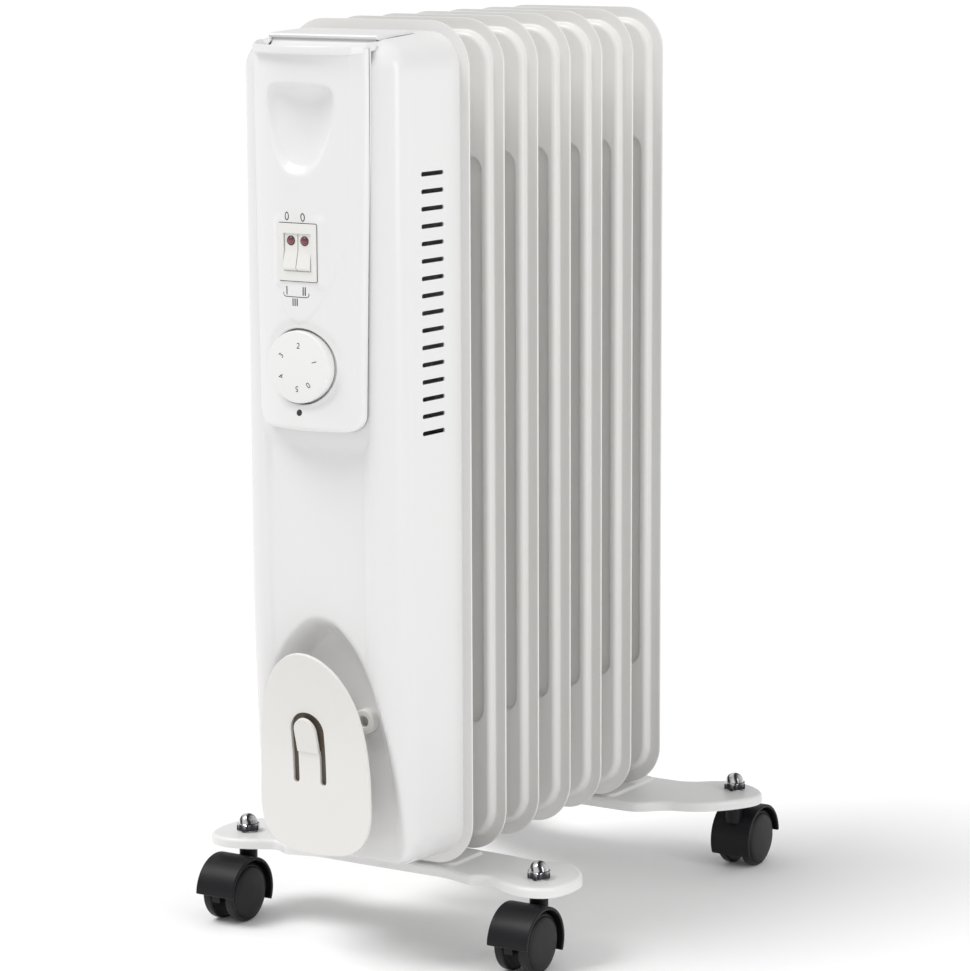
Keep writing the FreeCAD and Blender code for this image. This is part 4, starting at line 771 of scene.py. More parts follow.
def panel_body(form):
    """The face, open at the switches, with the knob's dish and the skirt round it."""
    grid = panel_grid()
    gx, gz = grid[:, :, 0], grid[:, :, 1]
    gy = panel_surface(gx, gz)
    ids = [form.add(zip(gx[k], gy[k], gz[k])) for k in range(len(grid))]
    hole_half, hole_high = SWITCH_HALF - 1.6, SWITCH_HIGH - 1.6
    middle = gz[:, gz.shape[1] // 2]
    low_row = int(np.argmax(middle >= PANEL_LOW + 7 - 1e-6))
    high_row = int(np.argmin(np.abs(middle - KNOB_Z - PATCH)))
    left, right = len(PANEL_NEAR), len(PANEL_NEAR) + len(PANEL_INNER) - 1
    for k in range(len(ids) - 1):
        for c in range(len(ids[0]) - 1):
            mid_x = (gx[k, c] + gx[k, c + 1]) / 2
            mid_z = (gz[k, c] + gz[k + 1, c]) / 2
            dish = low_row <= k < high_row and left <= c < right
            if not dish and not (abs(mid_x) < hole_half and abs(mid_z - SWITCH_Z) < hole_high):
                form.face((ids[k][c], ids[k][c + 1], ids[k + 1][c + 1], ids[k + 1][c]))
    ring = ids[low_row][left:right + 1] + [ids[k][right] for k in range(low_row + 1, high_row + 1)]
    ring += [ids[high_row][c] for c in range(right - 1, left - 1, -1)]
    ring += [ids[k][left] for k in range(high_row - 1, low_row, -1)]
    panel_dish(form, ring)
    panel_skirt(form, [row[0] for row in reversed(ids[1:])] + ids[0] + [row[-1] for row in ids[1:]])


def lip_outline(shrink):
    """Plan of the finger lip at the panel's top: a bowed front edge whose sides run back to the cap."""
    front = LIP_FRONT - shrink
    tip = LIP_HALF - shrink * 0.7
    rise = front - (LIP_CORNER - shrink * 0.4)
    bow = (tip ** 2 + rise ** 2) / (2 * rise)
    right = [(x, -front + bow - math.sqrt(bow ** 2 - x ** 2)) for x in [tip * i / 14 for i in range(15)]]
    side = tip - shrink * 0.2
    right += [(side + 1.3, -LIP_CORNER + shrink * 0.4 + 0.9), (side + 2.3, -LIP_CORNER + 3.6),
              (side + 4.1, -84.0), (side + 6.2, -80.0), (PANEL_WIDE - shrink, -76.0),
              (PANEL_WIDE + 0.3 - shrink, -70.0)]
    return open_from(right)


def panel_lip(form):
    """The lip's band, and the shallow tray behind it up to the cap's ridge."""
    profile = [(7.5, 622.9), (1.3, 623.5), (0.5, 623.8), (0.1, 624.5), (0.0, 625.4), (0.0, 627.6),
               (0.15, 628.6), (0.55, 629.2), (1.1, 629.45), (1.7, 629.3), (2.3, 628.6), (3.0, 627.4),
               (4.2, 626.2)]
    rows = form.loft([[(x, y, z + 2.2 * smooth((y + 90) / 20)) for x, y in lip_outline(shrink)]
                      for shrink, z in profile], closed=False)
    inner = rows[-1]
    previous = inner
    for share in (0.1, 0.22, 0.36, 0.52, 0.66, 0.78, 0.87, 0.94, 0.98, 1.0):
        line = []
        for x, y, z in [form.points[k] for k in inner]:
            sag = TRAY_SAG * math.sin(share * math.pi) ** 0.7 * (1 - (abs(x) / 52) ** 2)
            line.append((x * (1 - 0.02 * share), y + (TRAY_END - y) * share,
                         z - sag + (TRAY_RIDGE - z) * share ** 4))
        current = form.add(line)
        form.bridge(previous, current, closed=False)
        previous = current


TRAY_SAG, TRAY_END, TRAY_RIDGE = 4.5, -62.5, 633.0
panel = Form()
panel_body(panel)
panel_lip(panel)
panel.make("panel", "radiator", "panel_plastic", [PANEL_PLASTIC, COVER_INSIDE_PAINTED_SHADE], crease=50,
           replaces=["control_panel"])


def extruded(form, outline, left, right):
    """A closed (y, z) outline carried from one x to the other."""
    ends = form.loft([[(x, y, z) for y, z in outline] for x in (left, right)])
    for end in ends:
        form.fill(end)


def top_cap():
    """Cap strip over the cover's top, behind the tray."""
    form = Form()
    outline = [(-65.2, 633.0), (-65.4, 634.2), (-64.6, 635.3), (-62.6, 635.7), (-40, 636.6), (-22, 637.2),
               (-20.2, 637.0), (-20.2, 634.9), (-40, 634.0), (-55, 632.8), (-61, 632.2), (-64, 632.4)]
    extruded(form, outline, -SUNK_HALF, SUNK_HALF)
    form.make("cap_strip", "radiator", "panel_plastic", [PANEL_PLASTIC], bevel=0.6, replaces=["top_cap"])


top_cap()


# ---------------------------------------------------------------- switches


PIVOT_Y, ROCKER_REACH, ROCKER_DIP, ROCKER_SWING, ROCKER_WIDE = -89.0, 14.5, 7.0, 16.0, 10.25
FRAME_CORNER = 0.7


def switch_frame():
    """White frame of the twin switch.  Its inner walls curve round the rockers' swing."""
    form = Form()
    face = PANEL_FRONT + 1.2
    side = SWITCH_HALF - 4.1
    swing = ROCKER_REACH + 0.3

    def rise(y):
        return math.sqrt(swing ** 2 - min(y - PIVOT_Y, 0) ** 2)

    profile = [(SWITCH_HALF - s, SWITCH_HIGH - s, y) for s, y in
               ((0, -PANEL_FRONT + 0.6), (0, -face + 0.35), (0.12, -face + 0.1), (0.4, -face))]
    profile += [(side + s, rise(-face) + s, y) for s, y in ((0.45, -face), (0.15, -face + 0.12))]
    profile += [(side, rise(y), y) for y in (-face + 0.4, -95.5, -94, -92.5, -91, -89, -80)]
    r = FRAME_CORNER
    rows = form.loft([[(x, y, SWITCH_Z + z) for x, z in
                       rounded_loop(-wide + r, wide - r, -up + r, up - r, r, 4)]
                      for wide, up, y in profile])
    form.fill(rows[-1])
    form.make("switch_frame", "radiator", "switch_white", [SWITCH_PLASTIC], crease=40,
              replaces=["switch_housing"])


switch_frame()


def rocker_outline():
    """Side view of a rocker pressed at its top: a flat upper face, and a lower face that stands out."""
    reach, dip = ROCKER_REACH, ROCKER_DIP
    tilt = math.radians(ROCKER_SWING)
    top = math.sqrt(reach ** 2 - dip ** 2)
    run = math.sqrt(reach ** 2 - (dip * math.cos(tilt)) ** 2) - dip * math.sin(tilt)
    low_y, low_z = -dip - run * math.sin(tilt), -run * math.cos(tilt)
    bend_y, bend_z = -dip - 0.95, -2.2
    front = [(-dip, top - 0.1), (-dip - 0.05, 6), (-dip - 0.1, 2.4), (-dip - 0.32, 0), (bend_y, bend_z),
             ((bend_y + low_y) / 2, (bend_z + low_z) / 2), (low_y, low_z)]
    start = math.degrees(math.atan2(low_z, low_y)) % 360
    sweep = arc(0, 0, reach, start, start + 25, 4)[1:]
    back = [(4.0, z * math.sqrt(reach ** 2 - 4.0 ** 2)) for z in (-1, 1)]
    close = math.degrees(math.atan2(top, -dip)) % 360
    rise = arc(0, 0, reach, close - 25, close, 4)[:-1]
    return [(PIVOT_Y + y, SWITCH_Z + z) for y, z in front + sweep + back + rise]


def rocker(side, name, body):
    """One rocker key, and the red lens in a dark bezel near its top."""
    left = 0.28 if side > 0 else -0.28 - ROCKER_WIDE
    form = Form()
    extruded(form, rocker_outline(), left, left + ROCKER_WIDE)
    form.make("key_" + name, body, "switch_white", [SWITCH_PLASTIC], crease=30, bevel=0.55, replaces=[name])
    middle, half = measures(name + "_neon")
    radius = half[0] + 0.35
    start = PIVOT_Y - ROCKER_DIP
    place = about_y(left + ROCKER_WIDE / 2, middle[2])
    lens = Form()
    lens.turn([(radius + 0.5, start + 0.3), (radius + 0.5, start - 0.2), (radius + 0.2, start - 0.36),
               (radius - 0.1, start - 0.3)], place, 36, 1)
    dome = [(radius * 0.96 * math.cos(t), start - 0.3 - 0.95 * math.sin(t)) for t in
            radians(0, 18, 36, 54, 70, 82)]
    lens.fill(lens.turn([(radius - 0.1, start - 0.3), *dome], place, 36)[-1])
    lens.make("lens_" + name, body, "red_lens", [LENS, DARK_PLASTIC], crease=40, replaces=[name + "_neon"])


rocker(-1, "rocker_left", "left_switch")
rocker(1, "rocker_right", "right_switch")


# ---------------------------------------------------------------- knob and printed marks


def knob_face(r):
    return -KNOB_FACE + 1.2 * (r / KNOB_RADIUS) ** 2


def knob():
    """Round dial with a slightly domed face."""
    form = Form()
    rear = -DISH_FLOOR - 0.8
    edge = 1.1
    front = -KNOB_FACE + 1.2 * 0.93
    profile = [(8.0, rear), (KNOB_RADIUS - 0.6, rear), (KNOB_RADIUS - 0.1, rear - 0.4),
               (KNOB_RADIUS, rear - 1.2)]
    profile += [(KNOB_RADIUS - edge + r, front + edge - y) for r, y in arc(0, 0, edge, 0, 90, 7)]
    profile += [(r, knob_face(r)) for r in (22.5, 20, 16, 12, 8, 4, 1)]
    form.fill(form.turn(profile, about_y(0, KNOB_Z), 128)[-1])
    form.make("dial", "thermostat_knob", "knob_white", [KNOB_PLASTIC], crease=40, replaces=["knob"])


def laid(line, surface, lift=0.05):
    """Points of a flat line, laid just proud of a surface."""
    return [(x, float(surface(x, z)) - lift, z) for x, z in line]


def add_mark(form, name, body):
    thing = form.make(name, body, "dark_plastic", [INK_AND_PAINTED_SHADOW], crease=60, weighted=False)
    face_front(thing.data)


def lettering(text, height, name, body, where, surface, turn):
    """A printed numeral laid on a face: where is (x, z), and surface(x, z) gives the face's depth."""
    curve = bpy.data.curves.new(name, "FONT")
    curve.body = text
    curve.size = height * 1.42
    curve.align_x = "CENTER"
    curve.align_y = "CENTER"
    curve.resolution_u = 6
    holder = put(name + "_text", curve)
    flat = final_mesh(holder)
    bpy.data.objects.remove(holder)
    xs = [v.co.x for v in flat.vertices]
    ys = [v.co.y for v in flat.vertices]
    mid_x, mid_y = (min(xs) + max(xs)) / 2, (min(ys) + max(ys)) / 2
    c, s = math.cos(math.radians(turn)), math.sin(math.radians(turn))
    line = []
    for u, w in [(x - mid_x, y - mid_y) for x, y in zip(xs, ys)]:
        line.append((where[0] + u * c - w * s, where[1] + u * s + w * c))
    form = Form()
    form.add(laid(line, surface))
    for poly in flat.polygons:
        form.face(poly.vertices)
    add_mark(form, name, body)


def outline_mark(name, strips, surface):
    """Lines laid on the panel, printed marks and a painted shadow line: each strip is a row of (x, z) points,
    a width, and whether it closes.
    """
    form = Form()
    for points, width, closed in strips:
        p = np.array(points, float)
        along = np.roll(p, -1, axis=0) - np.roll(p, 1, axis=0) if closed else np.gradient(p, axis=0)
        along /= np.linalg.norm(along, axis=1)[:, None]
        side = np.stack([-along[:, 1], along[:, 0]], axis=1) * width / 2
        form.loft([laid(line, surface) for line in (p + side, p - side)], closed=closed)
    add_mark(form, name, "radiator")


def dial_surface(x, z):
    return knob_face(math.hypot(x, z - KNOB_Z))


def panel_face(x, z):
    return panel_surface(np.array(x), np.array(z))


DIAL_RING = 14.5
knob()
for digit, angle in (("0", -51.6), ("1", 17.0), ("2", 84.6), ("3", 149.7), ("4", 208.6), ("5", 269.6)):
    a = math.radians(angle)
    lettering(digit, 3.9, f"dial_{digit}", "thermostat_knob",
              (DIAL_RING * math.cos(a), KNOB_Z + DIAL_RING * math.sin(a)), dial_surface, angle - 90)

outline_mark("marks_off", [(ellipse(x, z, 1.35, 2.5), 0.7, True) for x, z in ((-8.6, 517.6), (4.2, 517.2))],
             panel_face)
bars = [([(x, z) for z in (465.6, 468.4, 471.2)], 0.85, False) for x in (-9.3, 4.0, 5.6)]
bars += [([(x, z) for z in (458.4, 461, 463.4)], 0.85, False) for x in (-4.2, -2.5, -0.8)]
bars.append(([(-12.2, 467.2), (-12.1, 465.6), (-11.4, 464.7)] + [(x, 464.4) for x in spaced(-10.2, 6.4, 1.0)]
             + [(7.6, 464.7), (8.3, 465.6), (8.4, 467.2)], 0.5, False))
outline_mark("marks_on", bars, panel_face)
# A thin black line round the switch frame: painted shadow of the gap between frame and panel.
frame_line = rounded_loop(-SWITCH_HALF + 0.8, SWITCH_HALF - 0.8, SWITCH_Z - SWITCH_HIGH + 0.8,
                          SWITCH_Z + SWITCH_HIGH - 0.8, 1.05, 4, spaced(-13, 13, 2), spaced(476, 512, 2))
outline_mark("frame_gap_painted_shadow", [(frame_line, 0.5, True)], panel_face)


def index_dot():
    form = Form()
    form.fill(form.add(laid(ellipse(-0.7, 387.2, 2.15, 2.15, 32), panel_face, 0.06)))
    add_mark(form, "index_dot", "radiator")


index_dot()


# ---------------------------------------------------------------- cord wrap plate

PLATE_FRONT, PLATE_THICK, PLATE_BEND, PLATE_HIGH, PLATE_LEAN = 84.0, 2.5, 130.0, 224.0, 16.0
PLATE_SIDE = [(0, 82.3), (13, 82.9), (25, 84.8), (34.5, 90), (40.8, 98.5), (44, 110), (44.4, 124),
              (43.8, 142), (42.3, 160), (40, 176), (36.8, 189), (31.5, 201), (24, 212), (14, 220),
              (5, 223.3), (0, 223.7)]
TONGUE_X, TONGUE_HALF, TONGUE_LOW, TONGUE_HIGH, TONGUE_GAP, TONGUE_FOLD = -4.0, 11.0, 131.0, 179.0, 5.0, 153.0


def plate_y(z):
    rise = np.clip(z - PLATE_BEND, 0, None)
    span = PLATE_HIGH - PLATE_BEND
    bend = (span ** 2 + PLATE_LEAN ** 2) / (2 * PLATE_LEAN)
    return -PLATE_FRONT - (bend - np.sqrt(bend ** 2 - rise ** 2))


LEG = TONGUE_GAP / 2
TONGUE_WIDE, TONGUE_SLIM = TONGUE_HALF + LEG, TONGUE_HALF - LEG
TONGUE_SPRING = TONGUE_HIGH - TONGUE_HALF
TONGUE_TIP = TONGUE_SPRING + TONGUE_SLIM * 1.12


def tongue_slot():
    """Outline of the arched slot that frees the plate's tongue: two round feet and two arches."""

    def foot(x):
        return arc(x, TONGUE_LOW + LEG, LEG, 180, 360, 8)

    def side(x, levels):
        return [(TONGUE_X + x, z) for z in levels]

    def arch(wide, high, turns):
        return [(TONGUE_X + wide * math.cos(t), TONGUE_SPRING + high * math.sin(t)) for t in turns]

    rising, falling = (145, TONGUE_FOLD, 160), (160, TONGUE_FOLD, 145)
    over = radians(*range(0, 190, 10))
    slot = foot(TONGUE_X - TONGUE_HALF) + side(-TONGUE_SLIM, rising)
    slot += arch(TONGUE_SLIM, TONGUE_SLIM * 1.12, reversed(over)) + side(TONGUE_SLIM, falling)
    slot += foot(TONGUE_X + TONGUE_HALF) + side(TONGUE_WIDE, rising)
    return slot + arch(TONGUE_WIDE, TONGUE_WIDE, over) + side(-TONGUE_WIDE, falling)


def wrap_plate():
    """Thin plate that leans forward at its top, with a tongue sprung out of its middle."""
    form = Form()
    ring = form.add([(x, 0, z) for x, z in closed_from(PLATE_SIDE, 4)])
    form.fill(ring, [form.add([(x, 0, z) for x, z in tongue_slot()])])
    work = bmesh.new()
    verts = [work.verts.new(p) for p in form.points]
    for face in form.faces:
        work.faces.new([verts[k] for k in face])
    across, up = Vector((1, 0, 0)), Vector((0, 0, 1))
    cuts = [(up, z) for z in spaced(86, 221, 2.6) + [TONGUE_FOLD, TONGUE_FOLD + 0.6]]
    for way, level in cuts + [(across, x) for x in spaced(-43, 43, 4)]:
        bmesh.ops.bisect_plane(work, geom=work.verts[:] + work.edges[:] + work.faces[:],
                               plane_co=way * level, plane_no=way, dist=1e-4)
    bmesh.ops.remove_doubles(work, verts=work.verts, dist=1e-3)
    bent = Form()
    points = []
    for v in work.verts:
        x, _, z = v.co
        y = float(plate_y(z))
        if abs(x - TONGUE_X) < TONGUE_SLIM + 0.05 and TONGUE_FOLD < z < TONGUE_TIP + 0.05:
            y -= 1.1 + 3.9 * (z - TONGUE_FOLD) / (TONGUE_HIGH - TONGUE_FOLD)
        points.append((x, y, z))
    bent.add(points)
    for f in work.faces:
        bent.face([v.index for v in f.verts])
    work.free()
    thing = bent.make("wrap_plate", "radiator", "wrap_plastic", [WRAP_PLASTIC], weighted=False,
                      replaces=["cord_wrap_plate"])
    face_front(thing.data)
    thicken(thing, PLATE_THICK)
    round_edges(thing, 0.7, 50, "MITER_SHARP")
    shade(thing, 40)


def tongue_shade_sheet():
    """Dark brown sheet close behind the plate: painted shade seen through the slot round its tongue."""
    form = Form()
    loops = []
    for z in spaced(TONGUE_LOW - 3, TONGUE_HIGH + 5, 3):
        half = TONGUE_HALF + 5 - (max(0.0, z - 172) * 0.75)
        back = float(plate_y(z)) + PLATE_THICK
        loops.append([(TONGUE_X + x, back + y, z) for x, y in
                      ((-half, 0.2), (-half, 1.2), (half, 1.2), (half, 0.2))])
    rows = form.loft(loops)
    form.face(rows[0])
    form.face(rows[-1])
    form.make("tongue_shade_sheet", "radiator", "dark_plastic", [POCKET_PAINTED_SHADE], crease=30)


wrap_plate()
tongue_shade_sheet()


def cord_inlet():
    """The small bushing that the mains lead passes through, beside the wrap plate."""
    form = Form()
    (cx, cy, cz), (radius, deep, _) = measures("cord_gland")
    face, rear = cy - deep - FRONT_FIN, cy + deep - FRONT_FIN
    profile = [(3.8, rear), (3.8, face + 0.8), (4.1, face + 0.3), (4.7, face), (radius - 1.2, face),
               (radius - 0.5, face + 0.25), (radius - 0.1, face + 0.8), (radius, face + 1.5),
               (radius, face + 6.9)]
    form.turn(profile, about_y(cx, cz), 40)
    form.make("inlet_bushing", "radiator", "wrap_plastic", [WRAP_PLASTIC], crease=45, replaces=["cord_gland"])


cord_inlet()


# ---------------------------------------------------------------- foot brackets

BRACKET_TOP, BRACKET_RIM, BRACKET_BEND, BRACKET_STEEL, PAD_TOP = 61.0, 7.0, 2.6, 1.8, 63.0
FRONT_STEM_Y, REAR_STEM_Y, STEM_X, STEM_HOLE = 7.5, 292.0, 122.0, 3.6
FRONT_FOOT = [(0, -4.3), (30, -4.3), (53, -4.4), (68, -8.2), (77, -10), (83, -6.5), (89, -4.5), (95, -6.5),
              (103, -11), (113, -15.4), (124, -17.4), (135, -15), (142.5, -8.5), (146, 2), (146.8, 14),
              (145, 26), (139, 37), (130, 46.5), (120, 52.4), (110, 51.5), (100, 48), (88, 47.6),
              (76, 49.4), (60, 50.3), (30, 50.4), (0, 50.4)]
REAR_FOOT = [(0, 217.3), (30, 217.2), (50, 217.2), (72, 217.3), (82, 221), (90, 228.5), (98, 234.6),
             (108, 238), (119, 243), (130, 252.5), (139, 264.5), (145, 276), (146.4, 286), (143, 296),
             (135, 304.5), (125, 310.5), (114, 312.8), (103, 311.5), (94, 306), (86, 299.5), (76, 295),
             (62, 294.6), (30, 295.4), (0, 295.6)]


def foot_bracket(name, half, stem_y, node):
    """Pressed steel foot: turned down rim, rounded shoulder, raised seat for the fins."""
    form = Form()
    outer = closed_from(half, 4)
    bend = BRACKET_BEND
    profile = [(0.0, BRACKET_TOP - BRACKET_RIM), (0.0, BRACKET_TOP - bend)]
    profile += [(bend - bend * math.cos(t), BRACKET_TOP - bend + bend * math.sin(t)) for t in
                radians(15, 30, 45, 60, 75, 90)]
    rows = form.loft([[(x, y, z) for x, y in (inset_loop(outer, inset) if inset else outer)]
                      for inset, z in profile])
    ys = [y for x, y in half if x < 50]
    seat_low, seat_high = min(ys) + 12.5, max(ys) - 12.5
    rises = ((2.6, BRACKET_TOP), (2.0, BRACKET_TOP + 0.1), (1.2, BRACKET_TOP + 0.55),
             (0.6, BRACKET_TOP + 1.4), (0.0, PAD_TOP - 0.12), (-0.8, PAD_TOP - 0.02))
    seat = form.loft([[(x, y, z) for x, y in rounded_loop(-50, 50, seat_low, seat_high, 5 + grow, 5)]
                      for grow, z in rises])
    holes = [form.add([(x, y, BRACKET_TOP) for x, y in
                       ellipse(STEM_X * side, stem_y, STEM_HOLE, STEM_HOLE, 24)]) for side in (-1, 1)]
    form.fill(rows[-1], [seat[0], *holes])
    form.fill(seat[-1])
    form.make(name, "radiator", "bracket_enamel", [BRACKET_ENAMEL], wall=(BRACKET_STEEL,), crease=45,
              replaces=[node])


foot_bracket("front_foot", FRONT_FOOT, FRONT_STEM_Y, "front_bracket")
foot_bracket("rear_foot", REAR_FOOT, REAR_STEM_Y, "rear_bracket")


# ---------------------------------------------------------------- casters

HOOD_RADIUS, HOOD_WALL, HOOD_HALF, HOOD_RISE, HOOD_TAIL = 25.5, 2.4, 16.0, 1.3, 10.0
HOOD_ROUND, WEB_HALF, WEB_DROP, BOSS_TOP = 0.9, 3.4, 4.0, 50.0
HOOD_STEPS = 44


def hood(tag, x, axle_y, axle_z, stem_y):
    """Curved hood over both wheels, with the web between them and the boss that turns on the stem."""
    form = Form()
    inner = HOOD_RADIUS - HOOD_WALL
    way = 1 if stem_y > axle_y else -1
    first = -math.degrees(math.asin(HOOD_TAIL / HOOD_RADIUS))
    last = 180 - math.degrees(math.asin(HOOD_RISE / HOOD_RADIUS))
    r = HOOD_ROUND
    curl = [(HOOD_RADIUS - r + r * math.cos(t), HOOD_HALF - r + r * math.sin(t)) for t in
            radians(22, 45, 68, 90)]
    ring = [(HOOD_RADIUS, -HOOD_HALF + r), (HOOD_RADIUS, HOOD_HALF - r), *curl,
            (inner + 0.4, HOOD_HALF), (inner, HOOD_HALF - 0.5), (inner, -HOOD_HALF + 0.5),
            (inner + 0.4, -HOOD_HALF), *[(out, -along) for out, along in reversed(curl)]]
    angles = radians(*[first + (last - first) * k / HOOD_STEPS for k in range(HOOD_STEPS + 1)])
    rows = form.loft([[(x + along, axle_y + way * out * math.cos(a), axle_z + out * math.sin(a))
                       for out, along in ring] for a in angles])
    middle = (HOOD_RADIUS + inner) / 2
    for end in (rows[0], rows[-1]):
        low = []
        for px, py, pz in [form.points[k] for k in end]:
            reach = math.hypot(py - axle_y, pz - axle_z)
            closer = 1 + (middle - reach) / reach * 0.35
            low.append((x + (px - x) * 0.97, axle_y + (py - axle_y) * closer,
                        axle_z + (pz - axle_z) * closer - 0.45))
        low = form.add(low)
        form.bridge(end, low)
        form.fill(low)
    low_turn = -math.degrees(math.asin(WEB_DROP / inner))
    turns = radians(*[low_turn + (180 - 2 * low_turn) * k / HOOD_STEPS for k in range(HOOD_STEPS + 1)])
    sides = [form.add([(x + s, axle_y + (inner + 0.3) * math.cos(a), axle_z + (inner + 0.3) * math.sin(a))
                       for a in turns]) for s in (-WEB_HALF, WEB_HALF)]
    for loop in sides:
        form.fill(loop)
    form.bridge(*sides)
    profile = [(6.5, BOSS_TOP - 14), (6.5, BOSS_TOP - 3.4), (6.5, BOSS_TOP - 0.5), (6.2, BOSS_TOP - 0.12),
               (5.8, BOSS_TOP), (3.62, BOSS_TOP), (3.6, BOSS_TOP - 0.5), (3.6, BOSS_TOP - 12)]
    form.turn(profile, about_z(x, stem_y), 36)
    form.make(f"hood_{tag}", f"{tag}_caster", "caster_black", [CASTER_BLACK], crease=38,
              replaces=[f"{tag}_hood"])


def wheel(tag, hand, x, axle_y, axle_z):
    """One wheel of a caster: a rounded tread, a fine step, and a shallow domed side."""
    form = Form()
    sign = 1 if hand == "right" else -1
    radius = measures(f"{tag}_wheel_{hand}")[1][2]
    profile = [(3.3, 6.1), (8.0, 6.1), (12.0, 6.6), (17.5, 6.6), (18.6, 6.1)]
    profile += [(radius - s, along) for s, along in (
        (1.3, 6.1), (0.5, 6.35), (0.08, 7.0), (0, 7.9), (0, 11.2), (0.25, 12.0), (0.8, 12.75), (1.55, 13.15),
        (2.0, 13.2), (2.2, 12.85), (2.5, 12.85), (2.7, 13.3), (3.1, 13.95), (3.9, 14.5), (5.2, 14.85),
        (8, 15.15), (12, 15.38), (16, 15.5))]
    profile.append((1.2, 15.55))
    form.fill(form.turn(profile, lambda r, s, a: (x + sign * s, axle_y + r * math.cos(a),
                                                  axle_z + r * math.sin(a)), 72)[-1])
    form.make(f"wheel_{tag}_{hand}", f"{tag}_{hand}_wheel", "wheel_black", [WHEEL_BLACK], crease=42,
              replaces=[f"{tag}_wheel_{hand}"])


def stem(tag, x, stem_y):
    """Chromed stem between the hood's collar and the bracket, with its retaining groove."""
    form = Form()
    profile = [(0.6, 38.0), (3.5, 38.2), (3.5, 51.2), (3.15, 51.5), (3.15, 52.4), (3.5, 52.7), (3.5, 56.6),
               (3.7, 57.0), (4.7, 57.15), (4.95, 57.4), (4.95, 58.9), (4.7, 59.15), (3.6, 59.2), (3.5, 66.0)]
    form.turn(profile, about_z(x, stem_y), 36)
    form.make(f"stem_{tag}", "radiator", "chrome", [CHROME_PAINTED_REFLECTION], crease=40, replaces=[f"{tag}_stem"])


CASTERS = [(f"{end}_{hand}", STEM_X * sign, stem_y)
           for end, stem_y in (("front", FRONT_STEM_Y), ("rear", REAR_STEM_Y))
           for hand, sign in (("left", -1), ("right", 1))]
for tag, x, stem_y in CASTERS:
    _, axle_y, axle_z = measures(f"{tag}_axle")[0]
    axle_y -= FRONT_FIN
    hood(tag, x, axle_y, axle_z, stem_y)
    stem(tag, x, stem_y)
    for hand in ("left", "right"):
        wheel(tag, hand, x, axle_y, axle_z)


NUT_FLATS, NUT_TALL, NUT_DOME = 15.5, 6.0, 6.7


def nut_reach(a):
    """Distance from a nut's axis to its hexagon's side in a direction."""
    return NUT_FLATS / 2 / math.cos((a % (math.pi / 3)) - math.pi / 6)


def cap_nuts():
    """Domed hexagon nuts with chamfered corners on a thin washer face."""
    form = Form()
    base, top = BRACKET_TOP, BRACKET_TOP + NUT_TALL
    angles = [2 * math.pi * k / 72 for k in range(72)]
    steps = (("round", 7.3, base + 0.02), ("round", 7.5, base + 0.5), ("hex", 7.75, base + 0.9),
             ("hex", 9.2, base + 1.3), ("hex", 9.2, top - 1.0), ("hex", 7.75, top - 0.25),
             ("round", 7.0, top), ("round", 6.8, top + 0.1))
    for _, cx, cy in CASTERS:
        place = about_z(cx, cy)
        rows = [[place(min(nut_reach(a), size) if kind == "hex" else size, z, a) for a in angles]
                for kind, size, z in steps]
        rows += [[place(NUT_DOME * math.cos(t), top + 0.1 + (NUT_DOME - 0.15) * math.sin(t), a)
                  for a in angles] for t in radians(4, 16, 28, 40, 52, 64, 76, 86)]
        form.fill(form.loft(rows)[-1])
    form.make("dome_nuts", "radiator", "chrome", [CHROME_PAINTED_REFLECTION], crease=28, replaces=["cap_nuts"])


cap_nuts()


# ---------------------------------------------------------------- CAD parts that stay in view

paint(BRASS, "oil_fill_plug")
paint(ELEMENT_STEEL, "heating_element")
paint(GASKET, "element_gasket")
paint(ZINC, "switch_pin", "wrap_screws", "u_bolts", "wing_nuts", "thermostat_shaft", "thermostat_body")
paint(DARK_PLASTIC, "terminal_block", "thermal_cutout")
paint(SLEEVE, "supply_lead", "switch_lead", "thermostat_lead", "element_lead")
paint(WRAP_PLASTIC, "wrap_posts")
paint(ZINC, *[f"{tag}_axle" for tag, _, _ in CASTERS])


# ---------------------------------------------------------------- floor, light and camera


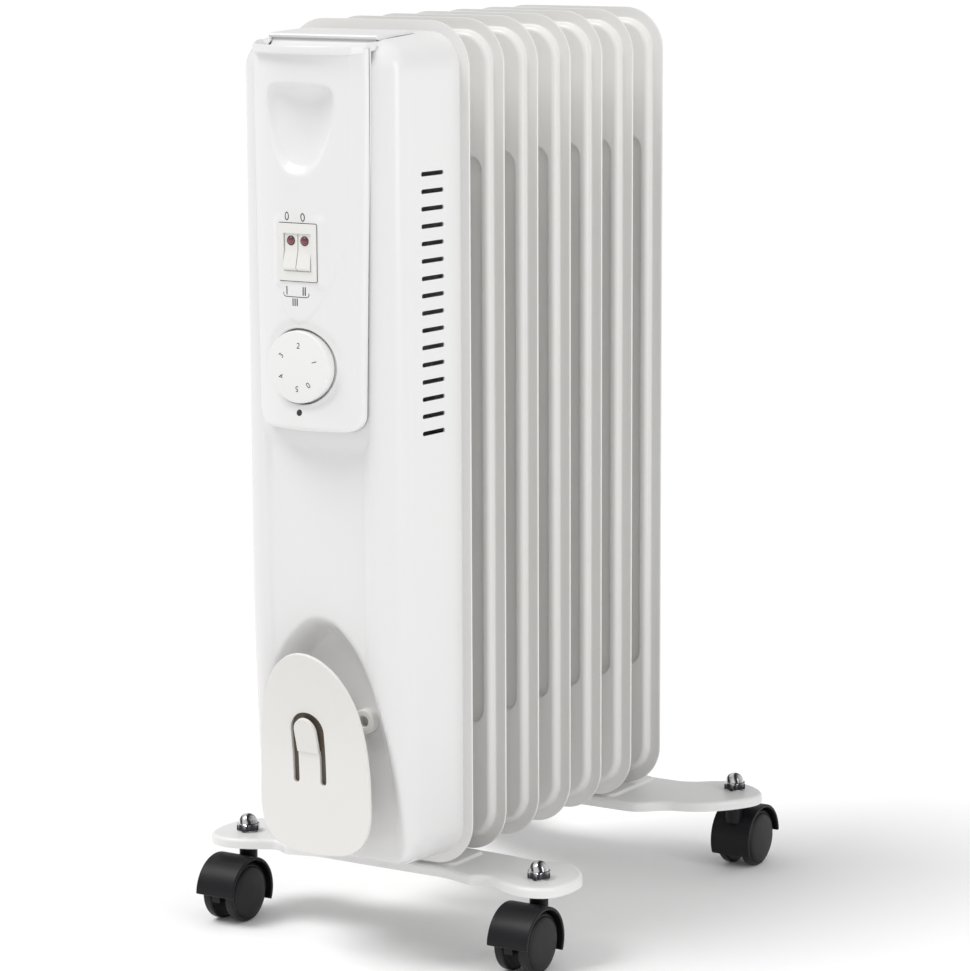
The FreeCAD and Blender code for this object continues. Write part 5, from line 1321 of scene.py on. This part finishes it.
def studio_floor():
    mesh = bpy.data.meshes.new("studio_floor")
    work = bmesh.new()
    bmesh.ops.create_grid(work, x_segments=2, y_segments=2, size=90)
    work.to_mesh(mesh)
    work.free()
    finish = Finish("studio_floor", (0.95, 0.95, 0.95), 0.75, shine=0.15)
    finish.tone(3, 2, (0.95, 0.95, 0.95), (0.94, 0.94, 0.94))
    mesh.materials.append(finish.material)
    put("studio_floor", mesh)


def key_sun():
    """A broad soft sun from high on the left front."""
    light = bpy.data.lights.new("key", "SUN")
    light.energy = 1.75
    light.angle = math.radians(30)
    thing = put("key", light)
    thing.location = (-1.3, -1.35, 3.0)
    thing.rotation_euler = Vector(thing.location).to_track_quat("Z", "Y").to_euler()


def side_lamp():
    """A tall soft lamp beside the heater, aimed at its middle."""
    light = bpy.data.lights.new("side", "AREA")
    light.shape = "RECTANGLE"
    light.size = 0.7
    light.size_y = 2.0
    light.energy = 20
    thing = put("side", light)
    thing.location = (2.6, -0.5, 1.2)
    thing.rotation_euler = (Vector((0, 0, 0.35)) - thing.location).to_track_quat("-Z", "Y").to_euler()


def camera():
    view = bpy.data.cameras.new("camera")
    view.sensor_width = 36
    view.lens = 3633.14 * 36 / 971
    view.shift_x = -0.0112
    view.shift_y = 0.002
    view.clip_start, view.clip_end = 0.05, 100
    azimuth, elevation, roll = radians(31.74, 9.7, -0.2)
    back = Vector((math.sin(azimuth) * math.cos(elevation), -math.cos(azimuth) * math.cos(elevation),
                   math.sin(elevation)))
    level = Vector((math.cos(azimuth), math.sin(azimuth), 0))
    upright = back.cross(level)
    right = level * math.cos(roll) + upright * math.sin(roll)
    up = upright * math.cos(roll) - level * math.sin(roll)
    thing = put("camera", view)
    thing.rotation_mode = "QUATERNION"
    thing.rotation_quaternion = Matrix((right, up, back)).transposed().to_quaternion()
    thing.location = (1.36361, -2.05392 + FRONT_FIN * MM, 0.74385)
    bpy.context.scene.camera = thing


studio_floor()
world = bpy.data.worlds.new("studio")
world.use_nodes = True
background = world.node_tree.nodes["Background"]
background.inputs["Color"].default_value = (1, 1, 1, 1)
background.inputs["Strength"].default_value = 0.64
bpy.context.scene.world = world
bpy.context.scene.view_settings.view_transform = "Standard"
key_sun()
side_lamp()
camera()
